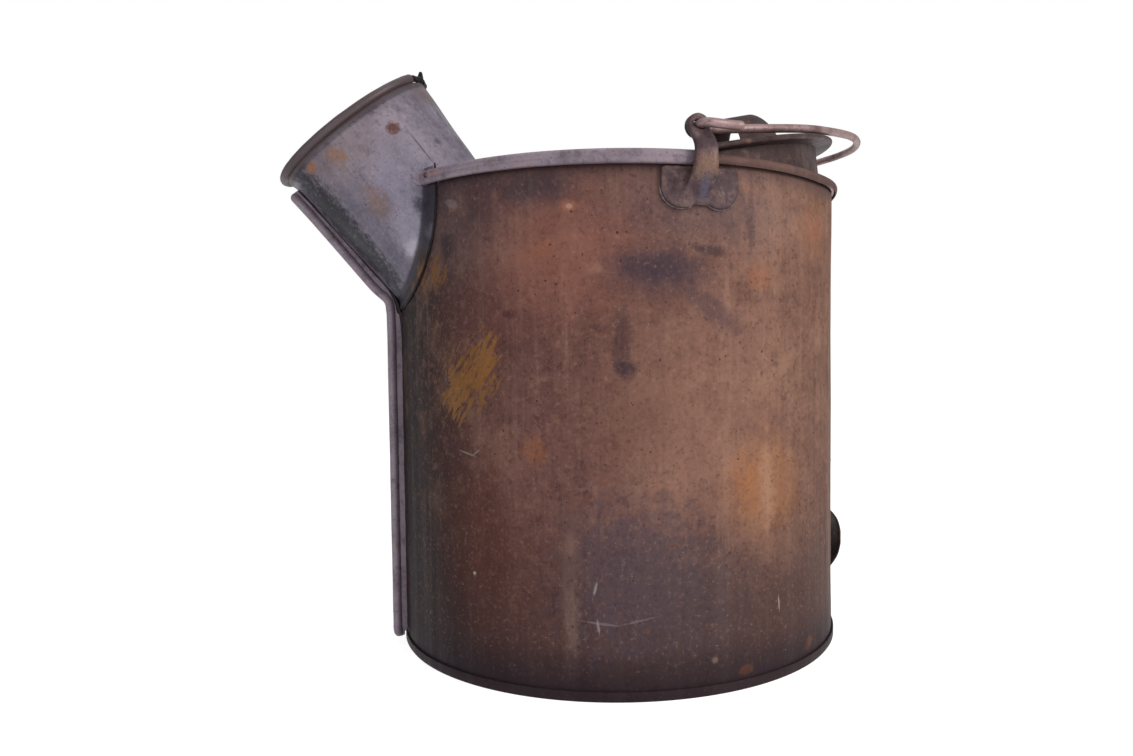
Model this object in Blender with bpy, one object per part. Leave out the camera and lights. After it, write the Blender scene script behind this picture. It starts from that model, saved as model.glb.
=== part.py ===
"""A spouted milk pail with a fixed half cover, a hinged half lid and a wire bail.

The spout points to -X, the tipping handle to +X and the two bail ears to -Y and +Y. Shapes
are drawn in millimetres about the body's axis, and the finished pail then stands with the
middle of its footprint on the origin.
"""

import math

import bmesh
import bpy
from mathutils import Matrix, Vector

MM = 0.001
TURN_STEPS = 72

# Running and seating clearance between separate pieces
GAP = 0.3

# Where the body's axis stands, from the middle of the whole footprint
AXIS_PLACE = 14.3

# Body: its outer radius, its sheet, and the bead rolled round the rim wire
BODY_RADIUS = 127.0
SHEET = 0.9
RIM_HEIGHT = 252.8
RIM_WIRE = 1.35
BEAD_CURL = 2.25
BEAD_STAND = 0.8
SPOUT_NOTCH = 60.4
DENT_REACH = 110.0
DENT_DEPTH = 3.0
SWELLING = 1.3

# Base: a plate let in above the floor, with a folded chime round the wall's foot
CHIME_HEIGHT = 5.0
PLATE_HEIGHT = 6.9

# Cover and lid, which share one plane while the lid is shut
COVER_SHEET = 0.8
COVER_REST = 0.35
HEM_DEPTH = 6.5
HINGE_SLIT = 3.0
LID_TILT = math.radians(12.8)
LID_NECK_DEPTH = 30.8
LID_NECK_CLEAR = 7.5
LID_NECK_TAPER = 2.5

# Hinge: the knuckles' radius, the pin's, and how far each leaf reaches to either side
KNUCKLE = 2.4
HINGE_PIN = 1.3
LID_LEAF = 37.9
COVER_LEAF = 100.0

# Lid handle: a strap across the lid
ARCH_PLACE = 86.0
ARCH_SPAN = 33.0
ARCH_RISE = 34.4
ARCH_STRAP = 26.0

# Spout: how far the mouth's centre stands out and up, and how steeply its axis rises
MOUTH_OUT = 23.6
MOUTH_UP = 34.5
SPOUT_RISE = math.radians(52.0)
SPOUT_TOP = 45.3
SPOUT_UNDER = 43.6
SPOUT_SIDE = 44.2
ROLL_STAND = 1.1
MOUTH_CURL = 1.95
MOUTH_WIRE = 1.25
ROLL_SHEET = 0.7
FOOT_BEND = 2.5

# Standing rib down the front
RIB_BEAD = 2.5
RIB_STAND = 5.9
RIB_WEB = 1.6

# Ears
EAR_PLATE = 2.1
EAR_LOBE = 9.9
EAR_DROP = 27.8
EAR_NECK = 10.8
EYE_HEIGHT = 15.8
HEAD_RADIUS = 5.6
HEAD_THICKNESS = 5.0
HEAD_INSET = 0.4

# Bail: the wire's radius, how far the loop reaches and how far above the lid's lip it lies
ROD = 2.2
EYE_CLEAR = 0.35
BAIL_REACH = 160.0
BAIL_REST = 0.7

# Tipping handle
GRIP_MIDDLE = 41.5
GRIP_STAND = 22.2
GRIP_HALF = 31.0
GRIP_STRAP = 25.0
GRIP_SHEET = 1.2

# Places that follow from the sizes above
WALL_MIDDLE = BODY_RADIUS - SHEET / 2
BEAD_RADIUS = WALL_MIDDLE + BEAD_STAND
BEAD_OUTSIDE = BEAD_RADIUS + BEAD_CURL + SHEET / 2
BEAD_TOP = RIM_HEIGHT + BEAD_CURL + SHEET / 2
COVER_MIDDLE = BEAD_TOP + COVER_REST + COVER_SHEET / 2
HEM_RADIUS = BEAD_OUTSIDE + GAP + COVER_SHEET / 2
HINGE_HEIGHT = COVER_MIDDLE - COVER_SHEET / 2 + KNUCKLE - 0.05
EYE = RIM_HEIGHT + EYE_HEIGHT
HEAD_OUTSIDE = BODY_RADIUS - HEAD_INSET
HEAD_INSIDE = HEAD_OUTSIDE - HEAD_THICKNESS
MOUTH = Vector((-BODY_RADIUS - MOUTH_OUT, 0.0, RIM_HEIGHT + MOUTH_UP))
MOUTH_TALL = SPOUT_TOP + ROLL_STAND
MOUTH_WIDE = SPOUT_SIDE + ROLL_STAND

DOWN = Vector((math.cos(SPOUT_RISE), 0.0, -math.sin(SPOUT_RISE)))
OUT = Vector((math.sin(SPOUT_RISE), 0.0, math.cos(SPOUT_RISE)))
ACROSS = Vector((0.0, 1.0, 0.0))
TUBE_STATIONS = (-4.0, 20.0, 45.0, 70.0, 112.0)

# Finishes: colour as linear red, green and blue, roughness, and metallic value
RUSTY_SHEET = ((0.085, 0.055, 0.045), 0.62, 0.35)
GREY_ZINC = ((0.19, 0.18, 0.20), 0.55, 0.45)
BROWN_COVER = ((0.12, 0.085, 0.075), 0.6, 0.35)
DARK_WIRE = ((0.11, 0.085, 0.075), 0.5, 0.6)
CAST_EAR = ((0.14, 0.10, 0.085), 0.6, 0.4)


def new_object(name, points, faces):
    """A mesh object from points in millimetres, with its faces turned outwards."""
    mesh = bpy.data.meshes.new(name)
    mesh.from_pydata([Vector(point) * MM for point in points], [], faces)
    work = bmesh.new()
    work.from_mesh(mesh)
    bmesh.ops.remove_doubles(work, verts=work.verts, dist=1e-7)
    bmesh.ops.dissolve_degenerate(work, edges=work.edges, dist=1e-7)
    work.to_mesh(mesh)
    work.free()
    obj = bpy.data.objects.new(name, mesh)
    bpy.context.scene.collection.objects.link(obj)
    return turned_outwards(obj)


def turned_outwards(obj):
    """Turns every face of a closed mesh to the outside."""
    work = bmesh.new()
    work.from_mesh(obj.data)
    bmesh.ops.recalc_face_normals(work, faces=work.faces)
    if work.calc_volume(signed=True) < 0:
        bmesh.ops.reverse_faces(work, faces=work.faces)
    work.to_mesh(obj.data)
    work.free()
    return obj


def ring_faces(rings, size, closed):
    """Quads between successive rings of equal size, with end caps unless closed."""
    faces = []
    last = rings if closed else rings - 1
    for i in range(last):
        a = i * size
        b = (i + 1) % rings * size
        for j in range(size):
            k = (j + 1) % size
            faces.append((a + j, a + k, b + k, b + j))
    if not closed:
        faces.append(tuple(range(size))[::-1])
        faces.append(tuple((rings - 1) * size + j for j in range(size)))
    return faces


def turned(name, outline, steps=TURN_STEPS, start=0.0, end=360.0):
    """Turns a closed outline of (radius, height) about +Z, from start to end in degrees."""
    whole = end - start >= 360.0
    count = steps if whole else steps + 1
    points = []
    for i in range(count):
        angle = math.radians(start + (end - start) * i / steps)
        for radius, height in outline:
            points.append((radius * math.cos(angle), radius * math.sin(angle), height))
    return new_object(name, points, ring_faces(count, len(outline), whole))


def swept(name, path, section, side, scales):
    """Sweeps a section of (sideways, outward) along a path; side is the sideways direction."""
    points = []
    count = len(path)
    for i, here in enumerate(path):
        along = (path[min(i + 1, count - 1)] - path[max(i - 1, 0)]).normalized()
        across = (Vector(side) - along * along.dot(Vector(side))).normalized()
        outward = across.cross(along)
        for u, v in section:
            points.append(here + across * u * scales[i] + outward * v)
    return new_object(name, points, ring_faces(count, len(section), False))


def strap_section(width, thickness):
    """The section of a flat strap with its edges eased."""
    half, thin = width / 2, thickness / 2
    eased = half - 2 * thin
    return [(-half, -thin), (half, -thin), (half, thin / 2), (eased, thin), (-eased, thin), (-half, thin / 2)]


def rod(name, path, radius, sides=10):
    """A round rod along a path in space, its section carried along without twisting."""
    points = []
    count = len(path)
    normal = None
    for i, here in enumerate(path):
        along = (Vector(path[min(i + 1, count - 1)]) - Vector(path[max(i - 1, 0)])).normalized()
        if normal is None:
            normal = along.orthogonal().normalized()
        normal = (normal - along * along.dot(normal)).normalized()
        other = along.cross(normal)
        size = radius * (0.72 if i in (0, count - 1) else 1.0)
        for j in range(sides):
            turn = 2 * math.pi * j / sides
            points.append(Vector(here) + (normal * math.cos(turn) + other * math.sin(turn)) * size)
    return new_object(name, points, ring_faces(count, sides, False))


def box(name, low, high):
    """A box between two corners."""
    corners = [(x, y, z) for x in (low[0], high[0]) for y in (low[1], high[1]) for z in (low[2], high[2])]
    faces = [(0, 1, 3, 2), (4, 6, 7, 5), (0, 4, 5, 1), (2, 3, 7, 6), (0, 2, 6, 4), (1, 5, 7, 3)]
    return new_object(name, corners, faces)


def prism(name, outline, low, high):
    """Extrudes a closed outline of (x, z) along Y."""
    points = [(x, level, z) for level in (low, high) for x, z in outline]
    return new_object(name, points, ring_faces(2, len(outline), False))


def disc(radius, centre_height):
    """The outline of a round bar or hole that runs along Y above the body's axis."""
    return arc((0.0, centre_height), radius, 0.0, 345.0, 23)


def thickened(line, thickness):
    """The closed outline of a sheet whose middle follows line."""
    left, right = [], []
    count = len(line)
    for i, here in enumerate(line):
        before = Vector(line[max(i - 1, 0)])
        after = Vector(line[min(i + 1, count - 1)])
        here = Vector(here)
        first = (here - before).normalized() if i > 0 else (after - here).normalized()
        second = (after - here).normalized() if i < count - 1 else first
        normal = Vector((-first.y - second.y, first.x + second.x)).normalized()
        reach = thickness / 2 / max(normal.dot(Vector((-first.y, first.x))), 0.5)
        left.append(tuple(here + normal * reach))
        right.append(tuple(here - normal * reach))
    return left + right[::-1]


def arc(centre, radius, start, end, steps):
    """Points on a circle, with angles in degrees."""
    points = []
    for i in range(steps + 1):
        angle = math.radians(start + (end - start) * i / steps)
        points.append((centre[0] + radius * math.cos(angle), centre[1] + radius * math.sin(angle)))
    return points


def smooth_path(knots, steps):
    """A Catmull-Rom curve through the knots."""
    knots = [Vector(knot) for knot in knots]
    extended = [2 * knots[0] - knots[1], *knots, 2 * knots[-1] - knots[-2]]
    points = []
    for i in range(1, len(extended) - 2):
        a, b, c, d = extended[i - 1 : i + 3]
        for j in range(steps):
            t = j / steps
            straight = 2 * b + (c - a) * t
            bent = (2 * a - 5 * b + 4 * c - d) * t * t + (3 * b - a - 3 * c + d) * t**3
            points.append(0.5 * (straight + bent))
    points.append(knots[-1])
    return points


def there_and_back(knots):
    """A row of knots followed by its mirror image across the plane y = 0."""
    return knots + [(x, -y, z) for x, y, z in reversed(knots)]


def combine(target, tool, operation):
    """Applies a Boolean to target and removes the tool."""
    modifier = target.modifiers.new(operation.title(), "BOOLEAN")
    modifier.operation = operation
    modifier.solver = "MANIFOLD"
    modifier.object = tool
    bpy.context.view_layer.update()
    graph = bpy.context.evaluated_depsgraph_get()
    result = bpy.data.meshes.new_from_object(target.evaluated_get(graph))
    target.modifiers.clear()
    target.data = result
    result.name = target.name
    bpy.data.objects.remove(tool)


def cut(target, *tools):
    """Takes each tool's space out of target."""
    for tool in tools:
        combine(target, tool, "DIFFERENCE")


def join(target, *tools):
    """Makes target and the tools one body."""
    for tool in tools:
        combine(target, tool, "UNION")


def keep(target, tool):
    """Keeps only what target shares with the tool."""
    combine(target, tool, "INTERSECT")


def mirrored(source, name):
    """A copy of source on the other side of the plane y = 0."""
    mesh = source.data.copy()
    mesh.name = name
    mesh.transform(Matrix.Scale(-1.0, 4, ACROSS))
    mesh.flip_normals()
    obj = bpy.data.objects.new(name, mesh)
    bpy.context.scene.collection.objects.link(obj)
    return obj


def curve_point(station, height, across):
    """A point by its distance down the spout's axis from the mouth, above it and across it."""
    return MOUTH + DOWN * station + OUT * height + ACROSS * across


def spout_point(station, angle, grow=0.0):
    """The spout's sheet; angle 0 is its top line and 180 degrees its underside.

    The spout is round at the mouth and widens into an oval where it meets the body. The
    sheet flares a little into the mouth's roll.
    """
    flare = math.exp(-max(station, 0.0) / 4.5)
    top = SPOUT_TOP - 0.062 * station + 0.2 * flare + grow
    bottom = SPOUT_UNDER - 0.052 * station + 3.2 * flare + grow
    wide = SPOUT_SIDE + 0.132 * station + grow
    middle = 1.0 + 0.14 * station
    reach = top - middle if math.cos(angle) > 0 else bottom + middle
    return curve_point(station, middle + reach * math.cos(angle), wide * math.sin(angle))


def spout_solid(name, grow, steps=64):
    """The closed solid inside the spout's surface, grown outwards by so many millimetres."""
    turns = [2 * math.pi * j / steps for j in range(steps)]
    points = [spout_point(station, turn, grow) for station in TUBE_STATIONS for turn in turns]
    return new_object(name, points, ring_faces(len(TUBE_STATIONS), steps, False))


def landing(angle):
    """Where a line down the spout ends: its station, and whether it lands on the cover."""
    low, high = 4.0, 120.0
    wall = BODY_RADIUS + GAP + SHEET / 2
    plane = COVER_MIDDLE + COVER_SHEET / 2 + GAP + SHEET / 2
    for _ in range(40):
        station = (low + high) / 2
        point = spout_point(station, angle)
        if point.z <= plane and math.hypot(point.x, point.y) <= wall:
            high = station
        else:
            low = station
    point = spout_point(high, angle)
    return high, point.z > plane - 0.05


def spout_column(angle):
    """Points down one line of the spout, through the bend at its foot and along the foot."""
    end, on_cover = landing(angle)
    foot_end = spout_point(end, angle)
    side = abs(math.sin(angle))
    if on_cover:
        width = max(6.0 * (1 - side**8), 0.4)
        outward = Vector((foot_end.x + BODY_RADIUS - 19.0, foot_end.y, 0.0)).normalized()
    else:
        width = 2.6 + 3.2 * side
        outward = Vector((0.0, foot_end.y, (foot_end.z - RIM_HEIGHT + 12.8) * 1.15)).normalized()
    bend = min(FOOT_BEND, width)

    def laid(distance):
        """A point of the foot, laid on the wall or on the cover."""
        point = foot_end + outward * distance
        if not on_cover:
            point.x = -math.sqrt((BODY_RADIUS + GAP + SHEET / 2) ** 2 - point.y**2)
        return point

    stations = [2.0, 4.0, 7.0, 12.0] + [12.0 + (end - bend - 12.0) * t for t in (0.25, 0.5, 0.75)]
    points = [spout_point(station, angle) for station in stations]
    first, last = spout_point(end - bend, angle), laid(bend)
    for t in (0.0, 0.3, 0.6, 1.0):
        points.append(first * (1 - t) ** 2 + foot_end * 2 * t * (1 - t) + last * t * t)
    points.append(laid(bend + width * 0.5))
    points.append(laid(bend + width))
    return points


def spout_sheet(name, steps=64):
    """The spout's sheet with its foot, given its thickness by Solidify."""
    columns = [spout_column(2 * math.pi * (j + 0.5) / steps) for j in range(steps)]
    rows = len(columns[0])
    points = [columns[j][i] * MM for i in range(rows) for j in range(steps)]
    faces = []
    for i in range(rows - 1):
        for j in range(steps):
            k = (j + 1) % steps
            faces.append((i * steps + j, (i + 1) * steps + j, (i + 1) * steps + k, i * steps + k))
    mesh = bpy.data.meshes.new(name)
    mesh.from_pydata([tuple(point) for point in points], [], faces)
    obj = bpy.data.objects.new(name, mesh)
    bpy.context.scene.collection.objects.link(obj)
    shell = obj.modifiers.new("Sheet", "SOLIDIFY")
    shell.thickness = SHEET * MM
    shell.offset = 0.0
    shell.use_even_offset = True
    bpy.context.view_layer.update()
    solid = bpy.data.meshes.new_from_object(obj.evaluated_get(bpy.context.evaluated_depsgraph_get()))
    obj.modifiers.clear()
    obj.data = solid
    return turned_outwards(obj)


def push_out_of_round(obj):
    """Knocks the back right of the rim in a little, and swells it beside that."""
    for vertex in obj.data.vertices:
        x, y, z = vertex.co / MM
        rise = min(max((z - RIM_HEIGHT) / DENT_REACH + 1.0, 0.0), 1.0)
        angle = math.degrees(math.atan2(y, x))
        swell = SWELLING * math.exp(-(((angle + 43.0) / 9.0) ** 2))
        swell -= DENT_DEPTH * math.exp(-(((angle + 12.0) / 16.0) ** 2))
        radius = math.hypot(x, y)
        factor = 1.0 + rise * rise * (3.0 - 2.0 * rise) * swell / max(radius, 1.0)
        vertex.co = Vector((x * factor, y * factor, z)) * MM
    return obj


def body_shell():
    """The rolled wall, its rim curled over the rim wire and cut away inside the spout."""
    levels = [CHIME_HEIGHT / 4] + [RIM_HEIGHT - drop for drop in (DENT_REACH, 80.0, 55.0, 32.0, 15.0, 3.5)]
    line = [(WALL_MIDDLE, level) for level in levels]
    line += arc((BEAD_RADIUS, RIM_HEIGHT), BEAD_CURL, 218.0, -50.0, 8)
    shell = push_out_of_round(turned("body_shell", thickened(line, SHEET)))
    cut(shell, spout_solid("bore", -SHEET - 2 * GAP))
    low = (-BODY_RADIUS - 13.0, -SPOUT_NOTCH, RIM_HEIGHT - 4.4)
    cut(shell, box("notch", low, (-BODY_RADIUS + 27.0, SPOUT_NOTCH, RIM_HEIGHT + 9.0)))
    return shell


def base_plate():
    """The base, let in above the floor, and the chime folded round the wall's foot."""
    inside = BODY_RADIUS - SHEET - GAP - SHEET / 2
    outside = BODY_RADIUS + GAP + SHEET / 2
    foot = SHEET / 2
    line = [(0.0, PLATE_HEIGHT), (inside - 2.7, PLATE_HEIGHT - 0.9), (inside - 0.5, PLATE_HEIGHT - 1.6)]
    line += [(inside, PLATE_HEIGHT - 2.7), (inside, foot), (outside, foot), (outside, CHIME_HEIGHT)]
    return turned("base_plate", thickened(line, SHEET))


def rim_wire():
    """The wire inside the bead, open where the spout stands."""
    half_gap = math.asin((SPOUT_NOTCH + 0.8) / BEAD_RADIUS)
    points = []
    for i in range(TURN_STEPS + 1):
        angle = math.pi + half_gap + 2 * (math.pi - half_gap) * i / TURN_STEPS
        points.append((BEAD_RADIUS * math.cos(angle), BEAD_RADIUS * math.sin(angle), RIM_HEIGHT))
    return push_out_of_round(rod("rim_wire", points, RIM_WIRE, 6))


def mouth_roll():
    """The sheet rolled outwards round the mouth's wire."""
    section = thickened(arc((0.0, 0.0), MOUTH_CURL, 236.0, -100.0, 7), ROLL_SHEET)
    steps = 64
    points = []
    for i in range(steps):
        angle = 2 * math.pi * i / steps
        outward = OUT * math.cos(angle) + ACROSS * math.sin(angle)
        centre = curve_point(0.0, MOUTH_TALL * math.cos(angle), MOUTH_WIDE * math.sin(angle))
        points += [centre + outward * u - DOWN * v for u, v in section]
    return new_object("roll", points, ring_faces(steps, len(section), True))


def mouth_tear():
    """The space of the torn stretch at the top of the mouth, where the roll is missing."""
    edge = [(-40.0, 1.4), (-35.0, 2.9), (-24.0, 2.5), (-15.0, 4.1), (-6.0, 5.3), (1.0, 4.2)]
    edge += [(8.0, 5.0), (15.0, 3.0), (21.0, 3.5), (25.0, 1.6)]
    points = []
    for degrees, depth in edge:
        angle = math.radians(degrees)
        for height in (MOUTH_TALL - 12.4, MOUTH_TALL + 15.6):
            for station in (-9.0, depth):
                points.append(curve_point(station, height * math.cos(angle), height * math.sin(angle)))
    faces = []
    for i in range(len(edge) - 1):
        a, b = 4 * i, 4 * i + 4
        faces += [(a, a + 1, b + 1, b), (a + 2, b + 2, b + 3, a + 3)]
        faces += [(a, b, b + 2, a + 2), (a + 1, a + 3, b + 3, b + 1)]
    last = 4 * (len(edge) - 1)
    faces += [(0, 2, 3, 1), (last, last + 1, last + 3, last + 2)]
    return new_object("tear", points, faces)


def torn_scrap():
    """A scrap of the torn roll that still stands up beside the end of the wire."""
    scrap = [(-3.0, -1.8, 8.6), (6.5, -2.5, 9.6), (6.5, -2.3, -3.4), (3.6, -1.8, -2.6), (-0.4, -0.2, 2.6)]
    corners = [(station, MOUTH_TALL + height, across) for station, height, across in scrap]
    points = [curve_point(*corner) for corner in corners]
    points += [curve_point(station, height + SHEET, across) for station, height, across in corners]
    return new_object("scrap", points, ring_faces(2, len(scrap), False))


def spout():
    """The spout with its foot, its torn mouth roll and the mouth's wire."""
    sheet = spout_sheet("spout")
    join(sheet, mouth_roll())
    cut(sheet, mouth_tear())
    join(sheet, torn_scrap())

    wire = []
    for i in range(TURN_STEPS + 1):
        angle = math.radians(16.0 + 302.0 * i / TURN_STEPS)
        wire.append(curve_point(0.0, MOUTH_TALL * math.cos(angle), MOUTH_WIDE * math.sin(angle)))
    horn = [curve_point(-5.6, MOUTH_TALL + 4.6, 3.4), curve_point(-2.6, MOUTH_TALL + 1.8, 4.6)]
    bent = smooth_path([*horn, curve_point(-0.6, MOUTH_TALL - 0.6, 8.2), wire[0]], 3)
    mouth_wire = rod("mouth_wire", bent[:-1] + wire, MOUTH_WIRE, 6)
    cut(sheet, rod("wire_way", bent, MOUTH_WIRE + GAP + 0.05, 8))

    clear = turned("clear", thickened(cover_line(), COVER_SHEET + 2 * GAP + 0.04))
    cut(clear, spout_solid("tube_way", SHEET / 2 + 0.03))
    cut(sheet, clear, cover_tab(-1.0, GAP + 0.04), cover_tab(1.0, GAP + 0.04))
    return sheet, mouth_wire


def front_rib():
    """The standing strip down the spout's underside and the body's front."""
    wall = -BODY_RADIUS
    end = landing(math.pi)[0]
    lie = [spout_point(station, math.pi) for station in (8.2, end * 0.287, end * 0.517, end * 0.746, end * 0.85)]
    foot = spout_point(end, math.pi).z
    stands = (RIB_STAND - 1.3, RIB_STAND - 0.9, RIB_STAND - 0.5, RIB_STAND - 0.1, RIB_STAND)
    beads = [point - OUT * stand for point, stand in zip(lie, stands)]
    beads += [Vector((wall - RIB_STAND - 1.7, 0.0, foot)), Vector((wall - RIB_STAND - 0.3, 0.0, foot - 5.6))]
    levels = (foot - 13.6, foot * 0.72, foot * 0.46, foot * 0.205, CHIME_HEIGHT + 9.0, CHIME_HEIGHT + 2.5)
    beads += [Vector((wall - RIB_STAND, 0.0, level)) for level in levels]
    beads.append(Vector((wall - RIB_STAND + 1.3, 0.0, CHIME_HEIGHT - 1.7)))
    bead = rod("front_rib", smooth_path(beads, 3), RIB_BEAD, 10)

    chime = BODY_RADIUS + GAP + SHEET
    inner = [point - OUT * (SHEET / 2 + GAP) for point in lie]
    inner += [Vector((wall - 4.0, 0.0, foot + 3.0)), Vector((wall - 2.0, 0.0, foot - 2.6))]
    inner += [Vector((wall - 2.0, 0.0, foot - 8.1)), Vector((wall - GAP, 0.0, foot - 10.1))]
    inner += [Vector((wall - GAP, 0.0, CHIME_HEIGHT + 2.4)), Vector((-chime - 0.8, 0.0, CHIME_HEIGHT + 1.0))]
    inner.append(Vector((-chime - 1.0, 0.0, CHIME_HEIGHT - 1.0)))
    outline = [(point.x, point.z) for point in beads + inner[::-1]]
    join(bead, prism("web", outline, -RIB_WEB / 2, RIB_WEB / 2))
    return bead


def cover_line():
    """Half of the cover's section: flat, then hemmed down over the bead and under it."""
    hem = [(-3.15, 0.0), (-1.05, -0.55), (0.15, -1.75), (0.3, -3.05)]
    line = [(0.0, COVER_MIDDLE)] + [(HEM_RADIUS + out, COVER_MIDDLE + up) for out, up in hem]
    under = [(0.0, -3.85), (0.3, -4.65), (0.15, -5.75), (-0.55, 0.05 - HEM_DEPTH), (-1.45, -HEM_DEPTH)]
    return line + [(HEM_RADIUS + out, COVER_MIDDLE + up) for out, up in under]


def cover_tab(side, grow):
    """The rounded end of the cover's hem, lying on the spout's side; grown to clear it."""
    wall = -BODY_RADIUS
    low, high = COVER_MIDDLE - HEM_DEPTH - 0.35 - grow, COVER_MIDDLE + 0.25 + grow
    middle = (low + high) / 2
    outline = [(wall + 11.5, low), (wall + 6.0, low), (wall + 3.8 - grow, low + 1.2)]
    outline += [(wall + 2.9 - grow, middle), (wall + 3.8 - grow, high - 1.2), (wall + 6.0, high), (wall + 11.5, high)]
    near, far = SPOUT_NOTCH - 20.4, SPOUT_NOTCH + 5.6
    tab = prism("tab", outline, near, far) if side > 0 else prism("tab", outline, -far, -near)
    keep(tab, spout_solid("far", SHEET / 2 + GAP + SHEET + grow))
    cut(tab, spout_solid("near", SHEET / 2 + (GAP if grow == 0 else 0.03)))
    return tab


def knuckle(low, high):
    """A stretch of the hinge's barrel."""
    return prism("knuckle", disc(KNUCKLE, HINGE_HEIGHT), low, high)


def pin_way(low, high):
    """The hole that the hinge pin runs through."""
    return prism("pin_way", disc(HINGE_PIN + GAP, HINGE_HEIGHT), low - 1.0, high + 1.0)


def leaf(inner, outer, low, high):
    """The strip that joins a knuckle to its sheet."""
    half = COVER_SHEET / 2
    return box("leaf", (inner, low, COVER_MIDDLE - half), (outer, high, COVER_MIDDLE + half))


def fixed_cover():
    """The half cover on the spout's side, with the outer knuckles of the hinge."""
    cover = turned("fixed_cover", thickened(cover_line(), COVER_SHEET))
    far = BODY_RADIUS + 20.0
    cut(cover, box("back", (-HINGE_SLIT, -far, 0.0), (far, far, COVER_MIDDLE + far)))
    cut(cover, spout_solid("spout_hole", SHEET / 2 + GAP))
    join(cover, cover_tab(-1.0, 0.0), cover_tab(1.0, 0.0))
    inner = LID_LEAF + 2 * GAP
    for low, high in ((-COVER_LEAF, -inner), (inner, COVER_LEAF)):
        join(cover, leaf(-HINGE_SLIT - 1.5, 0.0, low, high), knuckle(low, high))
    for low, high in ((-COVER_LEAF, -inner), (inner, COVER_LEAF)):
        cut(cover, pin_way(low, high))
    return cover


def lid():
    """The hinged half of the lid, drawn shut, with the neck that fits inside the body."""
    lip = [(1.0, 0.0), (2.0, 0.45), (2.1, 1.35), (1.2, 1.95), (-2.0, 1.95)]
    line = [(0.0, COVER_MIDDLE)] + [(BODY_RADIUS + out, COVER_MIDDLE + up) for out, up in lip]
    half = turned("lid", thickened(line, COVER_SHEET))
    top = BODY_RADIUS - LID_NECK_CLEAR
    low = top - LID_NECK_TAPER
    wall = COVER_SHEET / 2
    neck = [(low - wall, COVER_MIDDLE - LID_NECK_DEPTH), (low + wall, COVER_MIDDLE - LID_NECK_DEPTH)]
    neck += [(top + wall, COVER_MIDDLE), (top - wall, COVER_MIDDLE)]
    join(half, turned("neck", neck))
    far = BODY_RADIUS + 20.0
    cut(half, box("front", (-far, -far, 0.0), (HINGE_SLIT, far, COVER_MIDDLE + far)))
    join(half, leaf(0.0, HINGE_SLIT + 1.5, -LID_LEAF, LID_LEAF), knuckle(-LID_LEAF, LID_LEAF))
    cut(half, pin_way(-LID_LEAF, LID_LEAF))
    return half


def lid_handle():
    """The arched strap across the lid, drawn with the lid shut."""
    base = COVER_MIDDLE + COVER_SHEET / 2 + GAP
    half = [(ARCH_SPAN + 9.5, 1.0), (ARCH_SPAN + 4.2, 1.3), (ARCH_SPAN + 1.9, 3.4), (ARCH_SPAN, ARCH_RISE * 0.35)]
    half += [(ARCH_SPAN - 6.0, ARCH_RISE * 0.68), (ARCH_SPAN - 18.0, ARCH_RISE * 0.925)]
    knots = [(ARCH_PLACE, -across, base + up) for across, up in half]
    knots += [(ARCH_PLACE, 0.0, base + ARCH_RISE)]
    knots += [(x, -y, z) for x, y, z in reversed(knots[:-1])]
    path = smooth_path(knots, 3)
    scales = [1.14 - 0.46 * (point.z - base) / ARCH_RISE for point in path]
    return swept("lid_handle", path, strap_section(ARCH_STRAP, 1.5), (1.0, 0.0, 0.0), scales)


def hinge_pin():
    """The wire that both halves of the hinge turn on."""
    end = COVER_LEAF + 2.5
    places = (-end, -end + 1.0, 0.0, end - 1.0, end)
    return rod("hinge_pin", [(0.0, y, HINGE_HEIGHT) for y in places], HINGE_PIN, 12)


def ear():
    """The near ear: a two-lobed foot on the wall, a neck round the rim and a pierced head."""
    wall = BODY_RADIUS
    seat = wall + GAP
    low, high = RIM_HEIGHT - EAR_DROP, RIM_HEIGHT - 3.9
    face = wall + GAP + EAR_PLATE
    plate = turned("ear_near", [(seat, low), (face, low), (face, high), (seat, high)], 96, 250.0, 290.0)
    centre = RIM_HEIGHT - 13.2
    lobes = arc((-9.6, centre), EAR_LOBE, 180.0, 318.0, 9) + arc((9.6, centre), EAR_LOBE, 222.0, 360.0, 9)
    outline = lobes + [(19.3, high - 1.3), (18.2, high), (-18.2, high), (-19.3, high - 1.3)]
    keep(plate, prism("plate_shape", outline, -wall - 13.0, -wall + 7.0))

    knots = [(1.6, RIM_HEIGHT - 17.8), (3.6, RIM_HEIGHT - 12.3), (6.4, RIM_HEIGHT - 6.8), (7.7, RIM_HEIGHT - 0.8)]
    knots += [(7.2, RIM_HEIGHT + 4.7), (4.4, EYE - 7.2), (0.8, EYE - 3.8), (-2.4, EYE - 0.6)]
    path = smooth_path([(0.0, -wall - out, level) for out, level in knots], 3)
    scales = [1.0 + 1.1 * math.exp(-i / 3.2) for i in range(len(path))]
    half = EAR_NECK / 2
    section = [(-half, -0.9), (1.0 - half, -2.0), (half - 1.0, -2.0), (half, -0.9)]
    section += [(half, 0.9), (half - 1.0, 2.0), (1.0 - half, 2.0), (-half, 0.9)]
    neck = swept("neck", path, section, (1.0, 0.0, 0.0), scales)
    hem = HEM_RADIUS + COVER_SHEET + GAP - 0.05
    inside = [(seat, RIM_HEIGHT - 3.6), (hem, RIM_HEIGHT - 3.5), (hem, COVER_MIDDLE + 0.75)]
    core = wall - 27.0
    cut(neck, turned("inside", [(core, low - 5.0), (seat, low - 5.0), *inside, (core, COVER_MIDDLE + 0.75)]))
    join(plate, neck)
    join(plate, prism("head", disc(HEAD_RADIUS, EYE), -HEAD_OUTSIDE, -HEAD_INSIDE))
    cut(plate, prism("eye", disc(ROD + EYE_CLEAR, EYE), -HEAD_OUTSIDE - 14.0, -HEAD_INSIDE + 14.0))
    return plate


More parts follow.
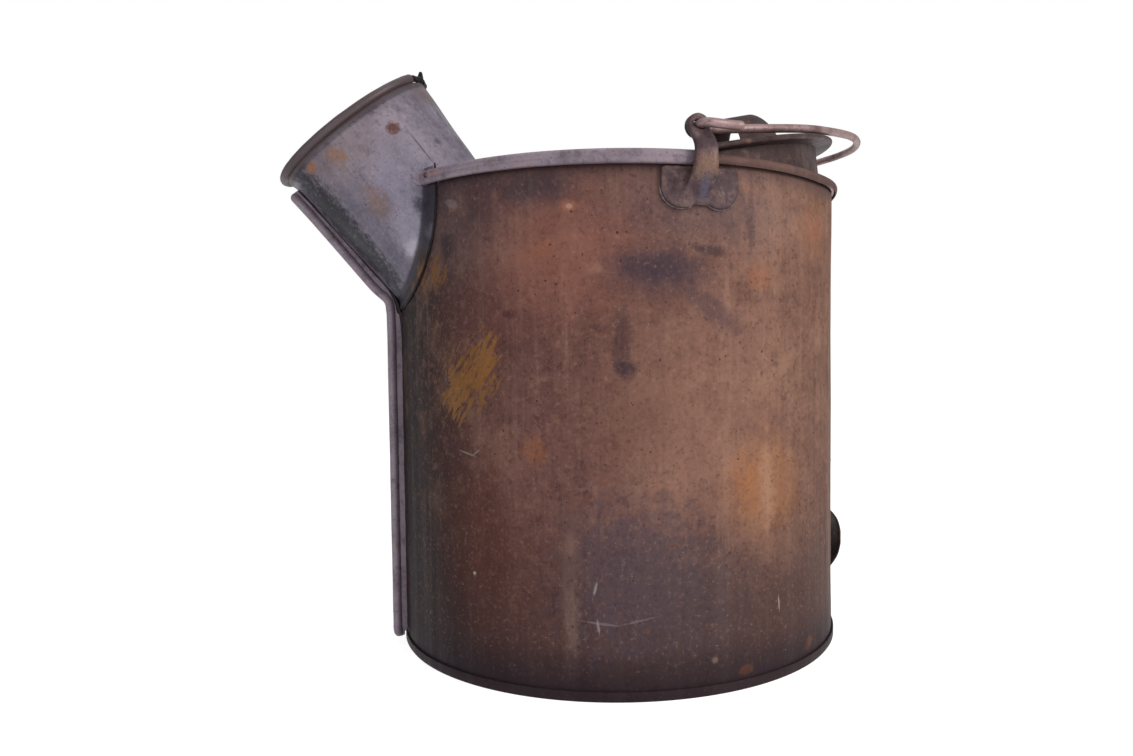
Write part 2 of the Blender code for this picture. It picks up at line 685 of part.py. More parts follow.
def bail():
    """The wire bail, drawn level, its ends hooked through the ears from inside."""
    outside = HEAD_OUTSIDE + 4.8
    half = [(20.5, outside, -3.6), (14.0, outside + 0.1, -2.6), (6.0, outside + 0.1, -1.0)]
    half += [(2.2, outside - 0.4, -0.2), (0.3, outside - 2.4, 0.0), (0.0, HEAD_OUTSIDE, 0.0)]
    inside = [(0.0, 0.0), (0.4, -2.7), (3.2, -5.0), (8.0, -6.0), (22.0, -10.2), (45.0, -17.0), (75.0, -27.6)]
    half += [(x, HEAD_INSIDE + y, 0.0) for x, y in inside]
    loop = [(60.0, -41.9), (35.0, -60.2), (18.0, -78.2), (6.0, -96.8), (0.0, -113.1)]
    half += [(BAIL_REACH - x, HEAD_INSIDE + y, 0.0) for x, y in loop]
    path = [(x, -y, EYE + z) for x, y, z in smooth_path(there_and_back(half), 3)]
    return rod("bail", path, ROD, 8)


def bail_tilt():
    """How far the bail stands up from level while it lies back above the lid's lip."""
    across = 79.4
    reach = math.sqrt((BODY_RADIUS + 2.5) ** 2 - across**2)
    lip = Vector((reach, COVER_MIDDLE + 1.95 + COVER_SHEET / 2 - HINGE_HEIGHT))
    x = lip.x * math.cos(LID_TILT) - lip.y * math.sin(LID_TILT)
    z = HINGE_HEIGHT + lip.x * math.sin(LID_TILT) + lip.y * math.cos(LID_TILT) - EYE
    return math.atan2(z, x) + math.asin((ROD + BAIL_REST) / math.hypot(x, z))


def tipping_handle():
    """The strap low on the back, for tipping the pail."""
    wall = BODY_RADIUS
    foot = wall + GAP + GRIP_SHEET / 2
    half = [(foot, -GRIP_HALF), (foot, 4.5 - GRIP_HALF), (wall + 3.6, 6.9 - GRIP_HALF)]
    half += [(wall + GRIP_STAND * 0.55, 10.7 - GRIP_HALF), (wall + GRIP_STAND * 0.875, 18.1 - GRIP_HALF)]
    half += [(wall + GRIP_STAND, 25.5 - GRIP_HALF)]
    knots = [(x, 0.0, GRIP_MIDDLE + z) for x, z in half]
    knots += [(wall + GRIP_STAND + GAP, 0.0, GRIP_MIDDLE)]
    knots += [(x, 0.0, 2 * GRIP_MIDDLE - z) for x, _, z in reversed(knots[:-1])]
    path = smooth_path(knots, 3)
    section = strap_section(GRIP_STRAP, GRIP_SHEET)
    handle = swept("tipping_handle", path, section, ACROSS, [1.0] * len(path))
    inside, top = wall - 27.0, GRIP_MIDDLE + GRIP_HALF + 18.0
    seat = wall + GAP
    cut(handle, turned("wall", [(inside, 0.0), (seat, 0.0), (seat, top), (inside, top)]))
    return handle


def dress(obj, finish):
    """Gives an object a material of its own and shades its round faces smooth."""
    colour, roughness, metallic = finish
    material = bpy.data.materials.new(obj.name)
    material.use_nodes = True
    shader = material.node_tree.nodes["Principled BSDF"]
    shader.inputs["Base Color"].default_value = (*colour, 1.0)
    shader.inputs["Roughness"].default_value = roughness
    shader.inputs["Metallic"].default_value = metallic
    obj.data.materials.clear()
    obj.data.materials.append(material)
    obj.data.shade_smooth()
    obj.data.set_sharp_from_angle(angle=math.radians(35.0))


def pivot(name, height, angle, parent):
    """An empty on a joint's axis; the angle lifts what hangs on it."""
    empty = bpy.data.objects.new(name, None)
    bpy.context.scene.collection.objects.link(empty)
    empty.parent = parent
    empty.location = (0.0, 0.0, height * MM)
    empty.rotation_euler = (0.0, -angle, 0.0)
    return empty


def hang(obj, carrier, height=0.0):
    """Parents a piece that was drawn in the pail's frame to an empty at the given height."""
    obj.parent = carrier
    obj.matrix_parent_inverse = Matrix.Translation((0.0, 0.0, -height * MM))


def main():
    """Builds the pail, dresses its pieces and hangs them on the pail's axis and its two pivots."""
    for obj in list(bpy.data.objects):
        bpy.data.objects.remove(obj)

    pail = pivot("pail", 0.0, 0.0, None)
    pail.location.x = AXIS_PLACE * MM
    lid_pivot = pivot("lid_pivot", HINGE_HEIGHT, LID_TILT, pail)
    bail_pivot = pivot("bail_pivot", EYE, bail_tilt(), pail)

    sheet, mouth_wire = spout()
    near = ear()
    fixed = [
        (body_shell(), RUSTY_SHEET),
        (base_plate(), RUSTY_SHEET),
        (rim_wire(), DARK_WIRE),
        (sheet, GREY_ZINC),
        (mouth_wire, DARK_WIRE),
        (front_rib(), RUSTY_SHEET),
        (fixed_cover(), BROWN_COVER),
        (hinge_pin(), DARK_WIRE),
        (near, CAST_EAR),
        (mirrored(near, "ear_far"), CAST_EAR),
        (tipping_handle(), BROWN_COVER),
    ]
    for obj, finish in fixed:
        dress(obj, finish)
        hang(obj, pail)
    for obj, finish in ((lid(), BROWN_COVER), (lid_handle(), BROWN_COVER)):
        dress(obj, finish)
        hang(obj, lid_pivot, HINGE_HEIGHT)
    wire = bail()
    dress(wire, DARK_WIRE)
    hang(wire, bail_pivot, EYE)


main()
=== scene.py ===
"""A rusted milk pail with a spout, half a fixed cover, half a hinged lid and a wire bail.

Pieces are drawn in millimetres about the pail's own axis, and are then set on that axis in metres,
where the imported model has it. The spout points to -X and the near ear to -Y. A "station" is a
distance down the spout's axis from its mouth. An "arc" is a distance round the wall, which is 0
over the tipping handle and negative on the near side.
"""

import logging
import math
import random
from dataclasses import dataclass, field
from enum import Enum
from typing import Callable, Sequence

import bmesh
import bpy
from mathutils import Matrix, Vector, noise

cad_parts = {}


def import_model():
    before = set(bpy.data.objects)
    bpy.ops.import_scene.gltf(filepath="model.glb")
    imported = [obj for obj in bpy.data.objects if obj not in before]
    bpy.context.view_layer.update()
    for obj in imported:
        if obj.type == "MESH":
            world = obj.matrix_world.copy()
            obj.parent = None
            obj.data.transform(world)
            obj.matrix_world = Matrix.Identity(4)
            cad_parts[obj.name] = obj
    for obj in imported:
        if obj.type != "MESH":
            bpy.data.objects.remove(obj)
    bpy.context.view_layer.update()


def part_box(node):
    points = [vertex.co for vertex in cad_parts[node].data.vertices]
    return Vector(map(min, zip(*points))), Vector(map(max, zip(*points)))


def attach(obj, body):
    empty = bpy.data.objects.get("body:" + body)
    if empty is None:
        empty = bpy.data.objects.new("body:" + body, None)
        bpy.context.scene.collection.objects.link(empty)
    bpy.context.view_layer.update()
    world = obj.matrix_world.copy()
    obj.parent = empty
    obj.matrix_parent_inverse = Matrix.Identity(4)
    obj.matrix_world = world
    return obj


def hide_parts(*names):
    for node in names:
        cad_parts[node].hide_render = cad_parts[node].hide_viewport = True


LOG = logging.getLogger("pail")
MM = 0.001
ACROSS = Vector((0.0, 1.0, 0.0))
Outline = list[tuple[float, float]]
Piece = bpy.types.Object
Material = bpy.types.Material
Socket = bpy.types.NodeSocket


class Body(Enum):
    """The three bodies that move against each other."""

    PAIL = "pail"
    LID = "lid"
    BAIL = "bail"


class Slot(Enum):
    """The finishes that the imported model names."""

    SHEET = "rusty_sheet"
    ZINC = "zinc_sheet"
    COVER = "cover_sheet"
    WIRE = "wire"
    CAST = "cast_ear"


@dataclass(frozen=True)
class PailSizes:
    """Sizes that several pieces share, in millimetres about the pail's axis."""

    gap: float = 0.3
    body_radius: float = 127.0
    sheet: float = 0.9
    rim_height: float = 252.8
    bead_curl: float = 2.25
    bead_stand: float = 0.8
    spout_notch: float = 60.4
    chime_height: float = 5.0
    cover_sheet: float = 0.8
    cover_rest: float = 0.35
    hem_depth: float = 6.5
    hinge_slit: float = 3.0
    knuckle: float = 2.4
    hinge_pin: float = 1.3
    lid_leaf: float = 37.9
    cover_leaf: float = 100.0
    lid_tilt: float = math.radians(12.8)
    eye_height: float = 15.8
    head_inset: float = 0.4
    head_thickness: float = 5.0
    rod: float = 2.2

    @property
    def wall_middle(self) -> float:
        """Radius of the middle of the wall's sheet."""
        return self.body_radius - self.sheet / 2

    @property
    def bead_radius(self) -> float:
        """Radius of the wire inside the bead."""
        return self.wall_middle + self.bead_stand

    @property
    def cover_middle(self) -> float:
        """Height of the middle of the cover's sheet."""
        bead_top = self.rim_height + self.bead_curl + self.sheet / 2
        return bead_top + self.cover_rest + self.cover_sheet / 2

    @property
    def hem_radius(self) -> float:
        """Radius of the middle of the cover's hem, outside the bead."""
        bead_outside = self.bead_radius + self.bead_curl + self.sheet / 2
        return bead_outside + self.gap + self.cover_sheet / 2

    @property
    def hinge_height(self) -> float:
        """Height of the lid's hinge."""
        return self.cover_middle - self.cover_sheet / 2 + self.knuckle - 0.05

    @property
    def eye(self) -> float:
        """Height of the eyes that the bail turns in."""
        return self.rim_height + self.eye_height

    @property
    def head_outside(self) -> float:
        """How far the outside of an ear's head stands from the middle of the pail."""
        return self.body_radius - self.head_inset


SIZES = PailSizes()


# Drawing lines and meshes


def arc(centre: tuple[float, float], radius: float, start: float, end: float, steps: int) -> Outline:
    """Points on a circle.

    Args:
        centre: The circle's middle.
        radius: Its radius.
        start: The first angle in degrees.
        end: The last angle in degrees.
        steps: How many steps to take between them.

    Returns:
        The points, one more than the steps.
    """
    turns = [math.radians(start + (end - start) * i / steps) for i in range(steps + 1)]
    return [(centre[0] + radius * math.cos(t), centre[1] + radius * math.sin(t)) for t in turns]


def smooth_path(knots: Sequence, steps: int) -> list[Vector]:
    """Draws a soft curve through a row of knots.

    Args:
        knots: The points to go through, all with two or all with three numbers.
        steps: How many steps to take from each knot to the next.

    Returns:
        The points of the curve.
    """
    row = [Vector(knot) for knot in knots]
    row = [2 * row[0] - row[1], *row, 2 * row[-1] - row[-2]]
    points = []
    for i in range(1, len(row) - 2):
        a, b, c, d = row[i - 1 : i + 3]
        for j in range(steps):
            t = j / steps
            bent = (2 * a - 5 * b + 4 * c - d) * t * t + (3 * b - a - 3 * c + d) * t**3
            points.append(0.5 * (2 * b + (c - a) * t + bent))
    points.append(row[-2])
    return points


def thickened(line: Sequence, thickness: float) -> Outline:
    """Gives a line in a plane the thickness of a sheet.

    Args:
        line: The middle of the sheet.
        thickness: The sheet's thickness.

    Returns:
        The closed outline of the sheet.
    """
    left, right = [], []
    count = len(line)
    for i in range(count):
        here = Vector(line[i])
        before, after = Vector(line[max(i - 1, 0)]), Vector(line[min(i + 1, count - 1)])
        first = (here - before).normalized() if i > 0 else (after - here).normalized()
        second = (after - here).normalized() if i < count - 1 else first
        normal = Vector((-first.y - second.y, first.x + second.x)).normalized()
        reach = thickness / 2 / max(normal.dot(Vector((-first.y, first.x))), 0.5)
        left.append(tuple(here + normal * reach))
        right.append(tuple(here - normal * reach))
    return left + right[::-1]


def ring_faces(rings: int, size: int, closed: bool) -> list[tuple[int, ...]]:
    """Lists the quads between successive rings of points.

    Args:
        rings: How many rings there are.
        size: How many points each ring has.
        closed: Whether the last ring meets the first. Otherwise both ends get a cap.

    Returns:
        The faces as rows of point numbers.
    """
    faces = []
    for i in range(rings if closed else rings - 1):
        a, b = i * size, (i + 1) % rings * size
        faces += [(a + j, a + (j + 1) % size, b + (j + 1) % size, b + j) for j in range(size)]
    if not closed:
        faces.append(tuple(range(size))[::-1])
        faces.append(tuple((rings - 1) * size + j for j in range(size)))
    return faces


def turned_outwards(piece: Piece) -> Piece:
    """Turns every face of a closed mesh to the outside.

    Args:
        piece: The object to mend.

    Returns:
        The same object.
    """
    work = bmesh.new()
    work.from_mesh(piece.data)
    bmesh.ops.remove_doubles(work, verts=work.verts, dist=1e-7)
    bmesh.ops.dissolve_degenerate(work, edges=work.edges, dist=1e-7)
    bmesh.ops.recalc_face_normals(work, faces=work.faces)
    if work.calc_volume(signed=True) < 0:
        bmesh.ops.reverse_faces(work, faces=work.faces)
    work.to_mesh(piece.data)
    work.free()
    return piece


def linked(name: str, mesh: bpy.types.Mesh) -> Piece:
    """Makes an object of a mesh and puts it in the scene.

    Args:
        name: The object's name.
        mesh: Its mesh.

    Returns:
        The object.
    """
    piece = bpy.data.objects.new(name, mesh)
    bpy.context.scene.collection.objects.link(piece)
    return piece


def solid(name: str, points: Sequence, faces: Sequence) -> Piece:
    """Makes a closed object from points in millimetres.

    Args:
        name: The object's name.
        points: Its points.
        faces: Its faces as rows of point numbers.

    Returns:
        The object, with its faces turned outwards.
    """
    mesh = bpy.data.meshes.new(name)
    mesh.from_pydata([Vector(point) * MM for point in points], [], faces)
    return turned_outwards(linked(name, mesh))


def box(name: str, low: Sequence[float], high: Sequence[float]) -> Piece:
    """Makes a box between two corners.

    Args:
        name: The object's name.
        low: The corner with the lowest numbers.
        high: The corner with the highest numbers.

    Returns:
        The box.
    """
    corners = [(x, y, z) for x in (low[0], high[0]) for y in (low[1], high[1]) for z in (low[2], high[2])]
    faces = [(0, 1, 3, 2), (4, 6, 7, 5), (0, 4, 5, 1), (2, 3, 7, 6), (0, 2, 6, 4), (1, 5, 7, 3)]
    return solid(name, corners, faces)


def prism(name: str, outline: Sequence, low: float, high: float) -> Piece:
    """Extends a closed outline along Y.

    Args:
        name: The object's name.
        outline: Points of (x, height).
        low: Where the solid starts along Y.
        high: Where it ends along Y.

    Returns:
        The solid.
    """
    points = [(x, level, z) for level in (low, high) for x, z in outline]
    return solid(name, points, ring_faces(2, len(outline), False))


def swept(
    name: str, path: Sequence, section: Outline, side: Sequence, widths: Sequence[float]
) -> Piece:
    """Carries a section along a path without turning it about the path.

    Args:
        name: The object's name.
        path: The points of the path.
        section: Points of (sideways, outward).
        side: The direction that counts as sideways.
        widths: The share of its full width that the section has at each point.

    Returns:
        The solid.
    """
    points = []
    count = len(path)
    for i, here in enumerate(path):
        along = (path[min(i + 1, count - 1)] - path[max(i - 1, 0)]).normalized()
        across = (Vector(side) - along * along.dot(Vector(side))).normalized()
        outward = across.cross(along)
        points += [here + across * u * widths[i] + outward * v for u, v in section]
    return solid(name, points, ring_faces(count, len(section), False))


def strap_section(width: float, thickness: float) -> Outline:
    """Draws the section of a flat strap whose edges are worn round.

    Args:
        width: The strap's width.
        thickness: Its thickness.

    Returns:
        The closed section.
    """
    half, thin = width / 2, thickness / 2
    right = arc((half - thin, 0.0), thin, -90.0, 90.0, 6)
    left = arc((thin - half, 0.0), thin, 90.0, 270.0, 6)
    between = [half * share for share in (0.66, 0.33, 0.0, -0.33, -0.66)]
    return right + [(u, thin) for u in between] + left + [(-u, -thin) for u in between]


def combine(target: Piece, tool: Piece, operation: str) -> None:
    """Applies a Boolean to one object and removes the other.

    Args:
        target: The object that changes.
        tool: The object that is used up.
        operation: DIFFERENCE, UNION or INTERSECT.
    """
    modifier = target.modifiers.new(operation.title(), "BOOLEAN")
    modifier.operation = operation
    modifier.solver = "MANIFOLD"
    modifier.object = tool
    harden(target)
    bpy.data.objects.remove(tool)


def harden(piece: Piece) -> Piece:
    """Makes an object's modifiers part of its mesh.

    Args:
        piece: The object.

    Returns:
        The same object, without modifiers.
    """
    bpy.context.view_layer.update()
    graph = bpy.context.evaluated_depsgraph_get()
    mesh = bpy.data.meshes.new_from_object(piece.evaluated_get(graph))
    piece.modifiers.clear()
    piece.data = mesh
    mesh.name = piece.name
    return piece


def cut(target: Piece, *tools: Piece) -> None:
    """Takes each tool's space out of the target."""
    for tool in tools:
        combine(target, tool, "DIFFERENCE")


def join(target: Piece, *tools: Piece) -> None:
    """Makes the target and the tools one body."""
    for tool in tools:
        combine(target, tool, "UNION")


def bent(piece: Piece, move: Callable[[Vector], Vector]) -> Piece:
    """Moves every point of a mesh by a rule.

    Args:
        piece: The object.
        move: Takes a point in millimetres and gives its new place.

    Returns:
        The same object.
    """
    for vertex in piece.data.vertices:
        vertex.co = move(vertex.co / MM) * MM
    return piece


def rise(value: float, low: float, high: float) -> float:
    """Climbs softly from 0 at the low value to 1 at the high one.

    Args:
        value: The value to judge.
        low: Where the climb starts.
        high: Where it ends.

    Returns:
        A number from 0 to 1.
    """
    share = min(max((value - low) / (high - low), 0.0), 1.0)
    return share * share * (3.0 - 2.0 * share)


# Node trees


class NodeBench:
    """Adds nodes to one tree."""

    def __init__(self, tree: bpy.types.NodeTree, family: str) -> None:
        """Keeps the tree, and the prefix of its usual nodes' names."""
        self.tree = tree
        self.family = family

    def add(self, kind: str, inputs: dict | None = None, out: str = "", **settings) -> Socket | None:
        """Adds one node with its settings and links.

        Args:
            kind: The node's type, which may leave out the tree's usual prefix.
            inputs: Values or sockets for its inputs, by their names or identifiers.
            out: The name of the output that is wanted, where it isn't the first.
            **settings: The node's own settings.

        Returns:
            The wanted output, or None where the node has no output.
        """
        whole = kind.startswith(("ShaderNode", "FunctionNode", "NodeGroup"))
        node = self.tree.nodes.new(kind if whole else self.family + kind)
        for name, value in settings.items():
            setattr(node, name, value)
        for key, value in (inputs or {}).items():
            socket = next(s for s in node.inputs if s.enabled and key in (s.name, s.identifier))
            if isinstance(value, Socket):
                self.tree.links.new(value, socket)
            else:
                socket.default_value = value
        found = [s for s in node.outputs if s.enabled and out in ("", s.name, s.identifier)]
        return found[0] if found else None


def linear(colour: str) -> tuple[float, float, float, float]:
    """Turns an sRGB hex colour into the linear values that a socket takes.

    Args:
        colour: The colour as #rrggbb.

    Returns:
        Red, green and blue in linear light, and an alpha of 1.
    """
    parts = [int(colour[i : i + 2], 16) / 255 for i in (1, 3, 5)]
    red, green, blue = (p / 12.92 if p <= 0.04045 else ((p + 0.055) / 1.055) ** 2.4 for p in parts)
    return (red, green, blue, 1.0)


class Tree(NodeBench):
    """A Geometry Nodes tree with named inputs, which ends in one material."""

    SOCKETS = {float: "NodeSocketFloat", int: "NodeSocketInt", Material: "NodeSocketMaterial"}

    def __init__(self, name: str, inputs: dict[str, type]) -> None:
        """Makes the tree's inputs and its output.

        Args:
            name: The tree's name.
            inputs: The name and the type of each input besides the geometry.
        """
        tree = bpy.data.node_groups.new(name, "GeometryNodeTree")
        super().__init__(tree, "GeometryNode")
        tree.interface.new_socket("Geometry", in_out="INPUT", socket_type="NodeSocketGeometry")
        for label, kind in inputs.items():
            tree.interface.new_socket(label, in_out="INPUT", socket_type=self.SOCKETS[kind])
        tree.interface.new_socket("Geometry", in_out="OUTPUT", socket_type="NodeSocketGeometry")
        self.add("NodeGroupInput")
        self.given = {socket.name: socket for socket in tree.nodes[-1].outputs if socket.name}

    def end(self, geometry: Socket) -> None:
        """Realises the geometry, gives it its material and puts it out.

        Args:
            geometry: The finished geometry.
        """
        smooth = self.add("SetShadeSmooth", {"Geometry": geometry})
        real = self.add("RealizeInstances", {"Geometry": smooth})
        painted = self.add("SetMaterial", {"Geometry": real, "Material": self.given["Material"]})
        self.add("NodeGroupOutput", {"Geometry": painted})

    def grow(self, seed: Piece, **values: object) -> Piece:
        """Runs the tree on a seed and keeps the result as a plain mesh.

        Args:
            seed: The object whose mesh the tree starts from.
            **values: The tree's inputs, by their names.

        Returns:
            The seed, now with the grown mesh and no modifier.
        """
        modifier = seed.modifiers.new(self.tree.name, "NODES")
        modifier.node_group = self.tree
        for item in self.tree.interface.items_tree:
            if item.in_out == "INPUT" and item.name in values:
                modifier[item.identifier] = values[item.name]
        return harden(seed)


class Lathe(Tree):
    """Turns a closed outline about the pail's axis."""

    def __init__(self) -> None:
        """Builds the tree: a ring as wide as the wall carries the outline round."""
        super().__init__("Lathe", {"Radius": float, "Steps": int, "Material": Material})
        outline = self.add("MeshToCurve", {"Mesh": self.given["Geometry"]})
        radius = self.given["Radius"]
        inward = self.add("ShaderNodeMath", {"Value": radius, "Value_001": -1.0}, operation="MULTIPLY")
        shift = self.add("ShaderNodeCombineXYZ", {"X": inward})
        outline = self.add("Transform", {"Geometry": outline, "Translation": shift})
        ring = self.add("CurvePrimitiveCircle", {"Resolution": self.given["Steps"], "Radius": radius})
        ring = self.add("SetCurveNormal", {"Curve": ring}, mode="Z_UP")
        mesh = self.add("CurveToMesh", {"Curve": ring, "Profile Curve": outline})
        self.end(self.add("MergeByDistance", {"Geometry": mesh, "Distance": 1e-6}))

    def turn(self, name: str, outline: Outline, steps: int = 288) -> Piece:
        """Turns an outline.

        Args:
            name: The object's name.
            outline: Closed, in points of (radius, height).
            steps: How many steps make the full turn.

        Returns:
            The solid.
        """
        count = len(outline)
        mesh = bpy.data.meshes.new(name)
        loop = [(i, (i + 1) % count) for i in range(count)]
        mesh.from_pydata([(radius * MM, -height * MM, 0.0) for radius, height in outline], loop, [])
        seed = linked(name, mesh)
        self.grow(seed, Radius=SIZES.body_radius * MM, Steps=steps)
        seed.data.materials.clear()
        return turned_outwards(seed)


class WireBench(Tree):
    """Draws a round wire, or a run of solder, along a path."""

    def __init__(self) -> None:
        """Builds the tree: a circle follows the path, as thick as the path's girth says."""
        super().__init__("Wire", {"Radius": float, "Sides": int, "Material": Material})
        path = self.add("MeshToCurve", {"Mesh": self.given["Geometry"]})
        girth = self.add("InputNamedAttribute", {"Name": "girth"}, data_type="FLOAT")
        size = {"Resolution": self.given["Sides"], "Radius": self.given["Radius"]}
        circle = self.add("CurvePrimitiveCircle", size)
        parts = {"Curve": path, "Profile Curve": circle, "Scale": girth, "Fill Caps": True}
        self.end(self.add("CurveToMesh", parts))

    def draw(
        self, name: str, path: Sequence[Vector], radius: float, girth: Sequence[float], sides: int = 16
    ) -> Piece:
        """Draws one wire.

        Args:
            name: The object's name.
            path: The points along its middle.
            radius: Its radius.
            girth: The share of that radius at each point.
            sides: How many sides its section has.

        Returns:
            The wire.
        """
        edges = [(i, i + 1) for i in range(len(path) - 1)]
        mesh = bpy.data.meshes.new(name)
        mesh.from_pydata([Vector(point) * MM for point in path], edges, [])
        mesh.attributes.new("girth", "FLOAT", "POINT").data.foreach_set("value", list(girth))
        seed = linked(name, mesh)
        self.grow(seed, Radius=radius * MM, Sides=sides)
        seed.data.materials.clear()
        return turned_outwards(seed)

    @staticmethod
    def rounded(path: Sequence[Vector], radius: float) -> tuple[list[Vector], list[float]]:
        """Rounds both ends of a wire.

        Args:
            path: The points along its middle.
            radius: Its radius.

        Returns:
            The path with more points at its ends, and the girth at each of them.
        """
        shares = (0.02, 0.15, 0.4, 0.75)
        points = [Vector(point) for point in path]
        first = (points[1] - points[0]).normalized() * radius
        last = (points[-2] - points[-1]).normalized() * radius
        head = [points[0] + first * share for share in shares]
        tail = [points[-1] + last * share for share in reversed(shares)]
        middle = [p for p in points if min((p - points[0]).length, (p - points[-1]).length) > radius]
        ends = [math.sqrt(1 - (1 - share) ** 2) for share in shares]
        return head + middle + tail, ends + [1.0] * len(middle) + ends[::-1]


class Scatter(Tree):
    """Strews small flat crusts over a surface."""

    def __init__(self) -> None:
        """Builds the tree: flattened balls on random points, each of its own size and turn."""
        kinds = {"Density": float, "Smallest": float, "Largest": float, "Flatness": float, "Seed": int}
        super().__init__("Scatter", {**kinds, "Material": Material})
        seed = self.given["Seed"]
        spread = {"Mesh": self.given["Geometry"], "Density": self.given["Density"], "Seed": seed}
        points = self.add("DistributePointsOnFaces", spread)
        rotation = self.tree.nodes[-1].outputs["Rotation"]
        ball = self.add("MeshIcoSphere", {"Radius": 1.0, "Subdivisions": 2})
        sizes = {"Min": self.given["Smallest"], "Max": self.given["Largest"], "Seed": seed}
        long = self.add("FunctionNodeRandomValue", sizes, data_type="FLOAT")
        other = self.add("ShaderNodeMath", {"Value": seed, "Value_001": 7.0}, operation="ADD")
        wide = self.add("FunctionNodeRandomValue", {**sizes, "Seed": other}, data_type="FLOAT")
        flat = {"Value": wide, "Value_001": self.given["Flatness"]}
        high = self.add("ShaderNodeMath", flat, operation="MULTIPLY")
        size = self.add("ShaderNodeCombineXYZ", {"X": long, "Y": wide, "Z": high})
        parts = {"Points": points, "Instance": ball, "Rotation": rotation, "Scale": size}
        self.end(self.add("InstanceOnPoints", parts))

    def strew(
        self, name: str, patch: Piece, density: float, sizes: tuple[float, float], seed: int
    ) -> Piece:
        """Covers a patch with crusts and removes the patch itself.

        Args:
            name: The crusts' name.
            patch: The surface that they lie on.
            density: How many there are to a square metre.
            sizes: The smallest and largest radius in millimetres.
            seed: The seed of the random numbers.

        Returns:
            The crusts as one mesh.
        """
        patch.name = name
        smallest, largest = (size * MM for size in sizes)
        self.grow(patch, Density=density, Smallest=smallest, Largest=largest, Flatness=0.3, Seed=seed)
        patch.data.name = name
        patch.data.materials.clear()
        return patch


# Finishes


@dataclass(frozen=True)
class ColourPatch:
    """A placed patch of colour on a surface that is laid out flat, in millimetres. Most are stains, and
    some are painted shade and painted highlights.

    Its half sizes are wide and tall, turn is in degrees, soft is the share of its size over
    which it fades and ragged is how far the noise eats into its edge.
    """

    across: float
    up: float
    wide: float
    tall: float
    colour: str
    strength: float = 0.6
    turn: float = 0.0
    soft: float = 0.6
    ragged: float = 0.9


